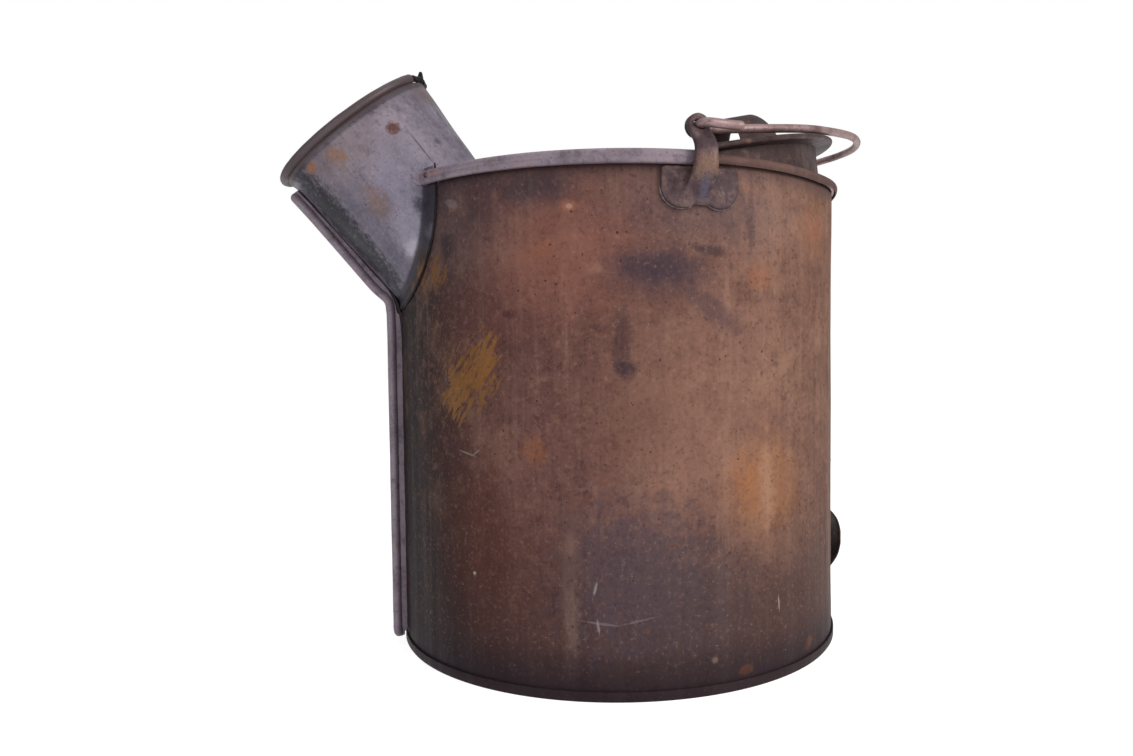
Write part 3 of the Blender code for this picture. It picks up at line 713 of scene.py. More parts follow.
class Paint(NodeBench):
    """A material under way, with its colour so far and its places in millimetres."""

    def __init__(self, name: str, axis: float, ground: str) -> None:
        """Starts a material.

        Args:
            name: Its name.
            axis: Where the pail's axis stands along X, in metres.
            ground: The colour that the rest is laid over.
        """
        self.material = bpy.data.materials.new(name)
        self.material.use_nodes = True
        super().__init__(self.material.node_tree, "ShaderNode")
        self.shader = self.tree.nodes["Principled BSDF"]
        place = self.add("TexCoord", out="Object")
        shift = {"Vector": place, "Location": (-axis / MM, 0.0, 0.0), "Scale": (1 / MM, 1 / MM, 1 / MM)}
        self.where = self.add("Mapping", shift)
        self.colour = self.add("Mix", {"Factor": 0.0, "A": linear(ground)}, data_type="RGBA")

    def coat(self, mask: Socket, low: float, high: float, colour: str, strength: float = 1.0) -> None:
        """Lays a colour over what is there, where a mask says.

        Args:
            mask: The mask.
            low: The mask's value where the coat is bare.
            high: The mask's value where the coat is full.
            colour: The coat's colour.
            strength: How much a full coat hides.
        """
        span = {"Value": mask, "From Min": low, "From Max": high, "To Max": strength}
        share = self.add("MapRange", span, interpolation_type="SMOOTHSTEP")
        both = {"Factor": share, "A": self.colour, "B": linear(colour)}
        self.colour = self.add("Mix", both, data_type="RGBA")

    def lay_patches(self, place: Socket, edge: Socket, stains: Sequence[ColourPatch]) -> None:
        """Lays placed patches of colour over what is there: stains, painted shade and painted highlights.

        Args:
            place: The surface laid out flat, in millimetres.
            edge: Noise about 0 that makes the edges ragged.
            stains: The patches, in the order that they lie.
        """
        for spot in stains:
            frame = {
                "Vector": place,
                "Location": (spot.across, spot.up, 0.0),
                "Rotation": (0.0, 0.0, math.radians(spot.turn)),
                "Scale": (spot.wide, spot.tall, 1.0),
            }
            local = self.add("Mapping", frame, vector_type="TEXTURE")
            reach = self.add("VectorMath", {"Vector": local}, out="Value", operation="LENGTH")
            eaten = {"Value": edge, "Value_001": spot.ragged, "Value_002": reach}
            reach = self.add("Math", eaten, operation="MULTIPLY_ADD")
            self.coat(reach, 1.0 + spot.soft, 1.0 - spot.soft, spot.colour, spot.strength)

    def noise(
        self, where: Socket, size: float, detail: float, rough: float = 0.5, twist: float = 0.0
    ) -> Socket:
        """Adds noise of one grain.

        Args:
            where: The place to judge, in millimetres.
            size: How large the noise's lumps are, in millimetres.
            detail: How many finer layers it has.
            rough: How strong the finer layers are.
            twist: How much it is warped.

        Returns:
            The noise, which stays near 0.5.
        """
        inputs = {"Vector": where, "Scale": 1 / size, "Detail": detail}
        return self.add("TexNoise", {**inputs, "Roughness": rough, "Distortion": twist})

    def scaled(self, value: Socket, by: float, plus: float | Socket) -> Socket:
        """Multiplies a value by a number and adds another value to it."""
        inputs = {"Value": value, "Value_001": by, "Value_002": plus}
        return self.add("Math", inputs, operation="MULTIPLY_ADD")

    def specks(self, spacing: float, size: float, share: float, colour: str, strength: float) -> Socket:
        """Lays small round specks over what is there.

        Args:
            spacing: How far apart they could lie, in millimetres.
            size: Their radius in millimetres.
            share: The share of the possible places that has none.
            colour: Their colour.
            strength: How much they hide.

        Returns:
            The mask of the specks.
        """
        cells = {"Vector": self.where, "Scale": 1 / spacing}
        near = self.add("TexVoronoi", cells, out="Distance")
        pick = self.add("SeparateColor", {"Color": self.tree.nodes[-1].outputs["Color"]}, out="Red")
        chosen = self.add("Math", {"Value": pick, "Value_001": share}, operation="GREATER_THAN")
        span = {"Value": near, "From Min": size / spacing, "From Max": size / spacing * 0.45}
        round_ = self.add("MapRange", span)
        mask = self.add("Math", {"Value": round_, "Value_001": chosen}, operation="MULTIPLY")
        self.coat(mask, 0.0, 1.0, colour, strength)
        return mask

    def finish(
        self,
        height: Socket,
        depth: float,
        gloss: Socket,
        rough: tuple[float, float],
        metallic: float,
        shine: float = 0.3,
    ) -> Material:
        """Gives the shader its colour, relief and roughness.

        Args:
            height: The relief, as a number of about 0 to 1.
            depth: How deep that relief is, in millimetres.
            gloss: Noise that the roughness follows.
            rough: The least and the greatest roughness.
            metallic: The metallic value.
            shine: The level of the clear reflection, where 0.5 is that of a clean surface.

        Returns:
            The finished material.
        """
        span = {"Value": gloss, "From Min": 0.3, "From Max": 0.7, "To Min": rough[0], "To Max": rough[1]}
        roughness = self.add("MapRange", span)
        relief = self.add("Bump", {"Height": height, "Distance": depth * MM, "Strength": 1.0})
        self.tree.links.new(self.colour, self.shader.inputs["Base Color"])
        self.tree.links.new(roughness, self.shader.inputs["Roughness"])
        self.tree.links.new(relief, self.shader.inputs["Normal"])
        self.shader.inputs["Metallic"].default_value = metallic
        self.shader.inputs["Specular IOR Level"].default_value = shine
        return self.material


def wall_layout(paint: Paint) -> tuple[Socket, Socket, Socket]:
    """Lays the wall out flat.

    Args:
        paint: The material.

    Returns:
        The place as (arc, height, 0), the arc's own number and the distance from the axis.
    """
    x = paint.add("SeparateXYZ", {"Vector": paint.where}, out="X")
    y, z = (paint.tree.nodes[-1].outputs[name] for name in ("Y", "Z"))
    angle = paint.add("Math", {"Value": y, "Value_001": x}, operation="ARCTAN2")
    length = paint.add("Math", {"Value": angle, "Value_001": SIZES.body_radius}, operation="MULTIPLY")
    place = paint.add("CombineXYZ", {"X": length, "Y": z})
    flat = paint.add("CombineXYZ", {"X": x, "Y": y})
    radius = paint.add("VectorMath", {"Vector": flat}, out="Value", operation="LENGTH")
    return place, length, radius


WALL_STAINS_AND_SHADE = (
    # Broad changes of the rust, from the spout's side round to the handle's; the two near-black ones down
    # the front beside the rib are partly painted shade
    ColourPatch(-338.0, 226.0, 44.0, 26.0, "#453b45", 0.6, 0.0, 0.9),
    ColourPatch(-352.0, 58.0, 34.0, 62.0, "#190f12", 0.62, 0.0, 0.9),
    ColourPatch(-384.0, 130.0, 20.0, 170.0, "#131017", 0.6, 0.0, 0.9),
    ColourPatch(-237.0, 138.0, 17.0, 26.0, "#5a3a36", 0.5, 0.0, 0.9),
    ColourPatch(-300.0, 180.0, 26.0, 22.0, "#613a38", 0.35, 0.0, 0.9),
    ColourPatch(-196.0, 230.0, 46.0, 14.0, "#564a50", 0.55, 0.0, 0.9),
    ColourPatch(-128.0, 40.0, 40.0, 34.0, "#4d3b3b", 0.5, 0.0, 0.9),
    ColourPatch(-308.0, 75.0, 22.0, 40.0, "#5e352c", 0.45, 0.0, 0.9),
    ColourPatch(-266.0, 208.0, 30.0, 24.0, "#9c6656", 0.55, 0.0, 0.9),
    ColourPatch(-205.0, 140.0, 34.0, 40.0, "#96705f", 0.4, 0.0, 0.9),
    ColourPatch(-230.0, 56.0, 32.0, 36.0, "#514852", 0.65, 14.0, 0.6, 1.2),
    ColourPatch(-198.0, 44.0, 26.0, 30.0, "#4d4145", 0.6, 0.0, 0.8),
    ColourPatch(-162.0, 98.0, 20.0, 20.0, "#a9764f", 0.5, 0.0, 0.7, 1.2),
    ColourPatch(-142.0, 34.0, 18.0, 20.0, "#4f3a38", 0.6, 20.0, 0.8),
    ColourPatch(-120.0, 226.0, 12.0, 10.0, "#a86a4a", 0.32, 0.0, 0.9),
    ColourPatch(-166.0, 199.0, 7.0, 6.0, "#a0694a", 0.45),
    # The dark smudge below the ear, its tail and the drips under it
    ColourPatch(-222.0, 201.0, 24.0, 11.0, "#4d3d45", 0.55, 0.0, 0.6),
    ColourPatch(-219.0, 202.5, 16.0, 6.5, "#453944", 0.75, -3.0, 0.5),
    ColourPatch(-193.0, 184.0, 17.0, 5.5, "#4b3a40", 0.6, -36.0, 0.6),
    ColourPatch(-195.0, 211.0, 9.0, 2.4, "#3b3038", 0.65, -8.0, 0.5),
    ColourPatch(-172.0, 221.0, 2.4, 9.0, "#43373d", 0.45, 12.0, 0.8),
    ColourPatch(-237.0, 169.0, 4.0, 15.0, "#453338", 0.6, 0.0, 0.6),
    ColourPatch(-235.5, 156.5, 4.8, 3.8, "#40303a", 0.7, 0.0, 0.5),
    # Orange and tan spots of the upper half
    ColourPatch(-276.6, 212.0, 9.0, 4.0, "#9c6650", 0.45, 20.0, 0.8, 1.6),
    ColourPatch(-261.0, 231.6, 3.6, 2.6, "#a36a50", 0.6),
    ColourPatch(-260.8, 231.2, 1.5, 1.2, "#b99a8e", 0.7, 0.0, 0.4, 0.4),
    ColourPatch(-249.6, 202.6, 3.8, 2.4, "#9c7763", 0.6),
    ColourPatch(-325.6, 237.0, 4.6, 2.0, "#8f7f82", 0.55, -20.0, 0.4, 1.4),
    ColourPatch(-331.0, 217.0, 5.0, 6.0, "#33282d", 0.6),
    ColourPatch(-279.0, 240.5, 17.0, 7.0, "#3d3842", 0.65),
    ColourPatch(-292.0, 182.5, 3.4, 2.2, "#482528", 0.6),
    ColourPatch(-279.0, 119.0, 5.5, 7.0, "#92593c", 0.5),
    # Lower half: the pale run, orange spots and the marks beside them
    ColourPatch(-262.7, 50.0, 4.0, 40.0, "#6a5450", 0.6, 0.0, 0.6, 1.3),
    ColourPatch(-262.5, 74.0, 2.4, 5.0, "#86685c", 0.55, 0.0, 0.7),
    ColourPatch(-262.2, 40.0, 2.8, 12.0, "#7d655d", 0.5, 0.0, 0.7, 1.3),
    ColourPatch(-173.8, 101.0, 6.5, 11.0, "#a56a40", 0.4, 0.0, 0.8, 1.4),
    ColourPatch(-161.0, 97.0, 4.5, 16.0, "#b8957f", 0.4, 0.0, 0.8, 1.5),
    ColourPatch(-175.5, 9.0, 3.9, 2.2, "#a0613f", 0.75, 0.0, 0.4),
    ColourPatch(-125.0, 11.0, 4.2, 2.8, "#a0653f", 0.7, 30.0, 0.4),
    ColourPatch(-193.0, 16.6, 1.7, 1.5, "#a48b84", 0.7, 0.0, 0.4),
    # Scratches
    ColourPatch(-318.7, 115.0, 5.6, 0.4, "#a0938d", 0.55, -12.0, 0.4, 0.4),
    ColourPatch(-312.4, 115.9, 2.4, 0.4, "#a0938d", 0.55, 32.0, 0.4, 0.4),
    ColourPatch(-248.0, 37.0, 9.0, 0.5, "#8f8288", 0.45, -7.0, 0.4, 0.5),
    ColourPatch(-231.0, 38.0, 9.0, 0.5, "#8f8288", 0.35, 12.0, 0.4, 0.5),
    ColourPatch(-250.6, 53.6, 0.6, 3.0, "#aea3a2", 0.55, -14.0, 0.4, 0.4),
    ColourPatch(-249.4, 35.5, 0.6, 3.2, "#aea3a2", 0.5, 8.0, 0.4, 0.4),
    ColourPatch(-315.0, 56.0, 0.9, 0.8, "#c3b9b6", 0.7, 0.0, 0.4, 0.4),
    ColourPatch(-153.0, 38.0, 0.5, 4.0, "#b8a69a", 0.6, 4.0, 0.4, 0.4),
)


@dataclass(frozen=True)
class Finish:
    """A finish that is laid over one ground colour."""

    ground: str = "#7a554b"

    def build(self, name: str, axis: float) -> Material:
        """Builds the material.

        Args:
            name: Its name.
            axis: Where the pail's axis stands along X, in metres.

        Returns:
            The material.
        """
        return self.coated(Paint(name, axis, self.ground))

    def coated(self, paint: Paint) -> Material:
        """Lays the finish's coats over the ground and finishes the material."""
        raise NotImplementedError


@dataclass(frozen=True)
class RustedSheet(Finish):
    """Tinned sheet steel, rolled up into a pail, whose tin has rusted away all over.

    The eye gets a dull, even brown that is mottled at every scale, runs that go straight
    down, orange where the rust is fresh and blue-black where the old tin and grease remain.
    Painted shade darkens it round the front beside the rib, towards the foot and under the
    cover's hem, and painted light brightens the side that faces the key lamp.
    """

    # Colour round the wall by distance from the back: the rust's own tone with painted shade, near black
    # at the front beside the rib, and painted light, palest on the side that faces the key lamp
    tone_and_shade_ramp: tuple[tuple[float, str], ...] = (
        (0.0, "#6b4f43"),
        (0.28, "#775849"),
        (0.38, "#8c6a5b"),
        (0.47, "#89665a"),
        (0.60, "#7b574f"),
        (0.72, "#7a5650"),
        (0.82, "#4d3431"),
        (0.88, "#22171a"),
        (0.93, "#110e13"),
    )
    hidden_stains: int = 16

    def unseen(self) -> list[ColourPatch]:
        """Strews stains of the same kinds over the sides that the photograph doesn't show."""
        draw = random.Random(41)
        colours = ("#a2694c", "#453a42", "#9a7a6c", "#5d3a30", "#3b333b", "#9c7448")
        stains = []
        for i in range(self.hidden_stains):
            across, up = draw.uniform(-80.0, 380.0), draw.uniform(15.0, 235.0)
            wide, tall = draw.uniform(4.0, 22.0), draw.uniform(5.0, 30.0)
            turn = draw.uniform(-30.0, 30.0)
            colour = colours[i % len(colours)]
            stains.append(ColourPatch(across, up, wide, tall, colour, 0.5, turn, 0.7, 1.2))
        return stains

    def coated(self, paint: Paint) -> Material:
        """Lays the coats."""
        place, length, _ = wall_layout(paint)
        height = paint.add("SeparateXYZ", {"Vector": place}, out="Y")
        clouds = paint.noise(paint.where, 48, 5.0, 0.62)
        mottle = paint.noise(paint.where, 11, 4.0, 0.65)
        grain = paint.noise(paint.where, 1.9, 3.0, 0.7)
        long = paint.add("Mapping", {"Vector": paint.where, "Scale": (1.0, 1.0, 0.045)})
        runs = paint.noise(long, 6.5, 4.0, 0.6)
        bloom = paint.noise(paint.where, 4.2, 4.0, 0.7, 0.6)
        threads = paint.noise(long, 1.6, 2.0)
        edge = paint.noise(paint.where, 7, 5.0, 0.75)
        edge = paint.scaled(edge, 2.4, -1.2)

        # The ground colour is read from that list by side, so it carries the painted shade by the rib and
        # the painted light on the lamp's side
        side = paint.add("Math", {"Value": length}, operation="ABSOLUTE")
        side = paint.add("Math", {"Value": side, "Value_001": 1 / 400}, operation="MULTIPLY")
        ground = paint.add("ValToRGB", {"Fac": side}, out="Color")
        stops = paint.tree.nodes[-1].color_ramp.elements
        while len(stops) < len(self.tone_and_shade_ramp):
            stops.new(0.5)
        for stop, (position, colour) in zip(stops, self.tone_and_shade_ramp):
            stop.position = position
            stop.color = linear(colour)
        paint.colour = ground

        paint.coat(clouds, 0.42, 0.72, "#5c3d37", 0.55)
        paint.coat(clouds, 0.50, 0.28, "#a5806c", 0.45)
        paint.coat(mottle, 0.50, 0.75, "#4d3434", 0.5)
        paint.coat(mottle, 0.48, 0.27, "#9c7869", 0.4)
        paint.coat(bloom, 0.53, 0.68, "#4a2b29", 0.5)
        paint.coat(bloom, 0.45, 0.33, "#946a58", 0.4)
        paint.coat(runs, 0.52, 0.74, "#4b3637", 0.22)
        paint.coat(runs, 0.46, 0.28, "#a98873", 0.2)
        paint.coat(threads, 0.5, 0.8, "#3f3033", 0.2)
        # Darker towards the bottom from mid height: painted shade where little light reaches the foot
        paint.coat(height, 96.0, 2.0, "#2e2226", 0.78)
        paint.lay_patches(place, edge, WALL_STAINS_AND_SHADE + tuple(self.unseen()))
        slope = {"Vector": place, "Rotation": (0.0, 0.0, math.radians(54.0)), "Scale": (4.0, 1.0, 1.0)}
        slope = paint.add("Mapping", slope, vector_type="TEXTURE")
        strokes = paint.noise(slope, 2.2, 4.0, 0.7)
        strokes = paint.scaled(strokes, 7.0, -3.3)
        paint.lay_patches(place, strokes, SCRAPED_STAINS)
        paint.coat(grain, 0.52, 0.78, "#33262a", 0.55)
        paint.coat(grain, 0.46, 0.24, "#a98678", 0.36)
        lime = paint.specks(8.0, 0.5, 0.78, "#a8948c", 0.4)
        pits = paint.specks(4.0, 0.55, 0.6, "#2b2024", 0.6)
        # Darker still just above the foot: painted shade beside the floor
        paint.coat(height, 30.0, 5.0, "#271e26", 0.8)
        # A darker band just under the cover's hem: painted shade
        paint.coat(height, 240.0, 250.0, "#463a40", 0.6)

        relief = paint.scaled(grain, 0.5, mottle)
        relief = paint.scaled(lime, 0.5, relief)
        relief = paint.scaled(pits, -0.5, relief)
        return paint.finish(relief, 0.22, runs, (0.55, 0.75), 0.1, 0.15)


SCRAPED_STAINS = (
    # Ochre undercoat where the rust was scraped off in strokes that rise to the right
    ColourPatch(-325.0, 146.0, 10.0, 12.0, "#93683a", 0.9, 0.0, 0.35, 0.8),
    ColourPatch(-308.0, 157.0, 9.0, 15.0, "#946637", 0.9, -18.0, 0.35, 0.8),
    ColourPatch(-317.0, 152.0, 13.0, 13.0, "#83592f", 0.75, 0.0, 0.4, 1.0),
    ColourPatch(-341.0, 205.0, 8.0, 8.0, "#7d552f", 0.75, 0.0, 0.4, 1.0),
    ColourPatch(-352.0, 212.0, 4.0, 14.0, "#84582f", 0.7, -14.0, 0.4, 1.0),
)


SPOUT_STAINS_SHADE_AND_HIGHLIGHTS = (
    # Darker towards the underside on the near side: painted shade
    ColourPatch(42.0, -106.0, 46.0, 15.0, "#5d5968", 0.45, 0.0, 0.8),
    ColourPatch(13.0, -88.0, 13.0, 24.0, "#8d7a78", 0.5, 0.0, 0.9),
    # Near-black bands along the underside on both sides of the rib: painted shadow in the crease beside it
    ColourPatch(45.0, -123.0, 50.0, 12.0, "#12111a", 0.95, 0.0, 0.4, 0.7),
    ColourPatch(45.0, 123.0, 50.0, 12.0, "#1a1820", 0.92, 0.0, 0.4, 0.7),
    ColourPatch(30.4, -66.4, 13.0, 11.0, "#938c9b", 0.5, 0.0, 0.8),
    # Pale patches low on the near side beside the foot: painted highlights
    ColourPatch(62.0, -88.0, 12.0, 9.0, "#a29bab", 0.6, 0.0, 0.7),
    ColourPatch(71.0, -91.0, 4.0, 5.0, "#bdb8c6", 0.7, 0.0, 0.6),
    ColourPatch(14.1, -61.7, 6.2, 7.0, "#a59ba7", 0.55, 0.0, 0.5, 0.6),
    ColourPatch(17.9, -62.4, 3.3, 3.0, "#5e3a33", 0.9, 0.0, 0.35, 0.7),
    ColourPatch(9.5, -19.0, 7.0, 17.0, "#6f5850", 0.55),
    ColourPatch(8.1, -110.0, 2.4, 3.6, "#96633f", 0.8, 0.0, 0.4),
    ColourPatch(12.0, -93.5, 5.0, 4.4, "#8f6847", 0.6, 30.0, 0.6, 1.3),
    ColourPatch(41.7, -91.4, 8.0, 5.5, "#8b6c5a", 0.5),
    ColourPatch(34.0, -58.2, 9.0, 0.4, "#45424e", 0.75, -3.0, 0.6, 0.3),
    ColourPatch(55.7, -75.3, 3.4, 2.8, "#34323c", 0.75, 0.0, 0.5),
    ColourPatch(35.4, -48.0, 2.0, 1.6, "#45434f", 0.7),
    ColourPatch(78.1, -89.6, 5.0, 3.6, "#8a6636", 0.75, 0.0, 0.5, 1.2),
    # A pale streak on the mouth's roll: painted highlight
    ColourPatch(1.3, -96.0, 3.2, 15.0, "#a49cab", 0.7, 0.0, 0.5),
    ColourPatch(25.0, 60.0, 14.0, 12.0, "#8b6c5a", 0.4),
    ColourPatch(52.0, 84.0, 10.0, 9.0, "#5e3f38", 0.5),
    ColourPatch(20.0, 20.0, 12.0, 16.0, "#4b4857", 0.45),
    ColourPatch(38.0, 0.0, 10.0, 8.0, "#a29bab", 0.45),
)


FOOT_STAINS = (
    # Ochre where the lower part of the foot meets the rusted wall
    ColourPatch(84.0, -92.0, 4.5, 5.0, "#96692f", 0.7, 0.0, 0.5, 1.3),
    ColourPatch(88.0, -102.0, 4.0, 5.0, "#7c5630", 0.6, 0.0, 0.5, 1.3),
    ColourPatch(70.0, -78.0, 3.0, 4.0, "#6d6a7a", 0.6, 0.0, 0.5, 1.3),
)


@dataclass(frozen=True)
class WeatheredZinc(Finish):
    """Sheet steel dipped in zinc, now dull and mottled blue-grey.

    Water and milk left dark runs down it and rust came through in spots, and it keeps a
    faint metal sheen that the rusted wall has lost.
    """

    ground: str = "#857e8d"

    def coated(self, paint: Paint) -> Material:
        """Lays the coats."""
        mouth = Matrix.Rotation(-Spout.rise, 3, "Y") @ Spout.mouth()
        frame = {"Vector": paint.where, "Rotation": (0.0, -Spout.rise, 0.0), "Location": tuple(-mouth)}
        inside = paint.add("Mapping", frame)
        station = paint.add("SeparateXYZ", {"Vector": inside}, out="X")
        across, outward = (paint.tree.nodes[-1].outputs[key] for key in ("Y", "Z"))
        angle = paint.add("Math", {"Value": across, "Value_001": outward}, operation="ARCTAN2")
        length = paint.add("Math", {"Value": angle, "Value_001": 45.0}, operation="MULTIPLY")
        place = paint.add("CombineXYZ", {"X": station, "Y": length})
        _, _, radius = wall_layout(paint)

        spangle = paint.noise(inside, 8, 5.0, 0.68)
        mottle = paint.noise(inside, 26, 4.0, 0.6)
        grain = paint.noise(inside, 1.7, 3.0, 0.7)
        long = paint.add("Mapping", {"Vector": inside, "Scale": (0.06, 1.0, 1.0)})
        runs = paint.noise(long, 3.2, 3.0)
        edge = paint.noise(inside, 3.2, 5.0, 0.75)
        edge = paint.scaled(edge, 3.0, -1.5)

        paint.coat(mottle, 0.45, 0.7, "#5b5765", 0.6)
        paint.coat(mottle, 0.52, 0.3, "#938c9c", 0.5)
        paint.coat(spangle, 0.5, 0.72, "#4c4955", 0.6)
        paint.coat(spangle, 0.48, 0.28, "#a39cab", 0.45)
        paint.coat(runs, 0.5, 0.78, "#45424f", 0.4)
        paint.lay_patches(place, edge, SPOUT_STAINS_SHADE_AND_HIGHLIGHTS)
        paint.coat(grain, 0.52, 0.78, "#3a3743", 0.5)
        paint.coat(grain, 0.46, 0.25, "#b1abb9", 0.3)
        pits = paint.specks(5.0, 0.6, 0.6, "#33303a", 0.55)
        # A dark line just below the mouth's roll: painted shade in the crease between the roll and the
        # sheet
        paint.coat(station, 6.4, 4.6, "#2c282e", 0.6)
        paint.coat(station, 4.2, 3.2, "#5c4f51", 0.8)
        # Dark where the foot lies on the wall: painted shade in the crevice round the spout's foot
        foot = paint.add("SeparateXYZ", {"Vector": paint.where}, out="Z")
        foot = paint.add("Math", {"Value": foot, "Value_001": 123.0}, operation="SUBTRACT")
        foot = paint.add("Math", {"Value": foot, "Value_001": radius}, operation="MAXIMUM")
        paint.coat(foot, 130.4, 128.9, "#26212a", 0.85)
        paint.lay_patches(place, edge, FOOT_STAINS)

        relief = paint.scaled(grain, 0.4, spangle)
        relief = paint.scaled(pits, -0.5, relief)
        return paint.finish(relief, 0.18, mottle, (0.4, 0.6), 0.4, 0.22)


@dataclass(frozen=True)
class BrownedSheet(Finish):
    """Rusted sheet that hands have kept rubbed: the cover, the lid and the two strap handles.

    Its rust is thinner and smoother than the wall's, with a purple cast and rubbed edges.
    """

    ground: str = "#968995"
    dark: str = "#5a4d54"
    pale: str = "#9c8c92"
    flat: str = "#4d3c3c"
    stains: tuple[ColourPatch, ...] = ()

    def coated(self, paint: Paint) -> Material:
        """Lays the coats."""
        place, _, radius = wall_layout(paint)
        paint.coat(radius, 127.0, 116.0, self.flat, 0.85)
        clouds = paint.noise(paint.where, 22, 5.0, 0.65)
        mottle = paint.noise(paint.where, 5, 4.0, 0.68)
        grain = paint.noise(paint.where, 1.3, 3.0, 0.7)
        edge = paint.scaled(mottle, 2.4, -1.2)
        paint.coat(clouds, 0.45, 0.7, self.dark, 0.6)
        paint.coat(clouds, 0.48, 0.3, self.pale, 0.5)
        paint.coat(mottle, 0.5, 0.72, self.dark, 0.55)
        paint.coat(mottle, 0.46, 0.28, "#8a6352", 0.45)
        paint.lay_patches(place, edge, self.stains)
        paint.coat(grain, 0.52, 0.78, "#2b2124", 0.5)
        paint.coat(grain, 0.46, 0.25, self.pale, 0.4)
        pits = paint.specks(4.5, 0.6, 0.6, "#241b1d", 0.6)
        relief = paint.scaled(grain, 0.5, mottle)
        relief = paint.scaled(pits, -0.5, relief)
        return paint.finish(relief, 0.2, clouds, (0.42, 0.62), 0.3, 0.25)


@dataclass(frozen=True)
class CastIron(Finish):
    """Sand-cast malleable iron, tinned once: dull, grainy and dusty in its hollows."""

    ground: str = "#503f44"

    def coated(self, paint: Paint) -> Material:
        """Lays the coats."""
        x = paint.add("SeparateXYZ", {"Vector": paint.where}, out="X")
        place = paint.add("CombineXYZ", {"X": x, "Y": paint.tree.nodes[-1].outputs["Z"]})
        clouds = paint.noise(paint.where, 12, 4.0)
        mottle = paint.noise(paint.where, 3, 4.0, 0.65)
        sand = paint.noise(paint.where, 0.8, 2.0)
        edge = paint.scaled(mottle, 2.4, -1.2)
        paint.coat(clouds, 0.45, 0.68, "#3a2d31", 0.6)
        paint.coat(clouds, 0.48, 0.32, "#7c6560", 0.5)
        paint.coat(mottle, 0.5, 0.72, "#2f2528", 0.5)
        paint.coat(mottle, 0.46, 0.3, "#86705f", 0.35)
        stripe = ColourPatch(0.5, 239.5, 2.4, 6.5, "#5e5a6c", 0.7, 0.0, 0.5, 0.5)
        dust = ColourPatch(0.5, 248.5, 6.5, 4.4, "#8a6a58", 0.6, 0.0, 0.7, 0.8)
        paint.lay_patches(place, edge, (stripe, dust))
        paint.coat(sand, 0.5, 0.75, "#2a2023", 0.45)
        relief = paint.scaled(sand, 0.7, mottle)
        return paint.finish(relief, 0.25, clouds, (0.45, 0.68), 0.35)


@dataclass(frozen=True)
class RustedWire(Finish):
    """Drawn steel wire, rusted and then rubbed smooth again by the hand."""

    ground: str = "#a58b8c"
    dark: str = "#4c3a3b"
    pale: str = "#a2877f"

    def coated(self, paint: Paint) -> Material:
        """Lays the coats."""
        clouds = paint.noise(paint.where, 16, 4.0)
        mottle = paint.noise(paint.where, 2.6, 4.0, 0.68)
        grain = paint.noise(paint.where, 0.8, 2.0)
        paint.coat(clouds, 0.45, 0.66, self.dark, 0.6)
        paint.coat(mottle, 0.5, 0.7, self.dark, 0.6)
        paint.coat(mottle, 0.46, 0.3, self.pale, 0.5)
        paint.coat(grain, 0.52, 0.75, self.dark, 0.4)
        relief = paint.scaled(grain, 0.5, mottle)
        return paint.finish(relief, 0.16, clouds, (0.38, 0.58), 0.45)


@dataclass(frozen=True)
class DulledSolder(Finish):
    """Tin and lead solder run into the seams: pale grey under a skin of grime."""

    ground: str = "#7d7276"
    dark: str = "#463c40"

    def coated(self, paint: Paint) -> Material:
        """Lays the coats."""
        mottle = paint.noise(paint.where, 4, 4.0, 0.65)
        grain = paint.noise(paint.where, 1.1, 2.0)
        paint.coat(mottle, 0.45, 0.62, self.dark, 0.8)
        paint.coat(grain, 0.5, 0.75, "#352b2e", 0.5)
        return paint.finish(mottle, 0.15, grain, (0.4, 0.6), 0.4)


# The pail's sub-assemblies


@dataclass(frozen=True)
class Seat:
    """Where a finished piece belongs: its body, its slot and the nodes that it stands for."""

    body: Body
    slot: Slot
    nodes: tuple[str, ...] = ()


@dataclass
class Workshop:
    """What every sub-assembly is made with."""

    axis: float
    lathe: Lathe = field(default_factory=Lathe)
    wires: WireBench = field(default_factory=WireBench)
    crusts: Scatter = field(default_factory=Scatter)

    def settle(
        self,
        piece: Piece,
        material: Material,
        seat: Seat,
        lift: Matrix | None = None,
        crease: float = 35.0,
    ) -> Piece:
        """Puts a drawn piece in its place, dresses it and says what it rides on.

        Args:
            piece: The piece, drawn about the pail's axis.
            material: Its material.
            seat: Where it belongs.
            lift: How it is turned before it is placed, where it isn't drawn as it stands.
            crease: Edges sharper than this many degrees stay sharp.

        Returns:
            The piece.
        """
        mesh = piece.data
        mesh.transform(Matrix.Translation((self.axis, 0.0, 0.0)) @ (lift or Matrix()))
        mesh.shade_smooth()
        mesh.set_sharp_from_angle(angle=math.radians(crease))
        mesh.materials.clear()
        mesh.materials.append(material)
        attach(piece, seat.body.value)
        if seat.nodes:
            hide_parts(*seat.nodes)
        LOG.info("%s: %d faces on %s", piece.name, len(mesh.polygons), seat.body.value)
        return piece


def lifted(height: float, angle: float) -> Matrix:
    """Turns a piece up about a hinge that runs along Y above the pail's axis.

    Args:
        height: The hinge's height in millimetres.
        angle: The angle in radians.

    Returns:
        The matrix for a mesh in metres.
    """
    up = Matrix.Translation((0.0, 0.0, height * MM))
    return up @ Matrix.Rotation(-angle, 4, "Y") @ up.inverted()


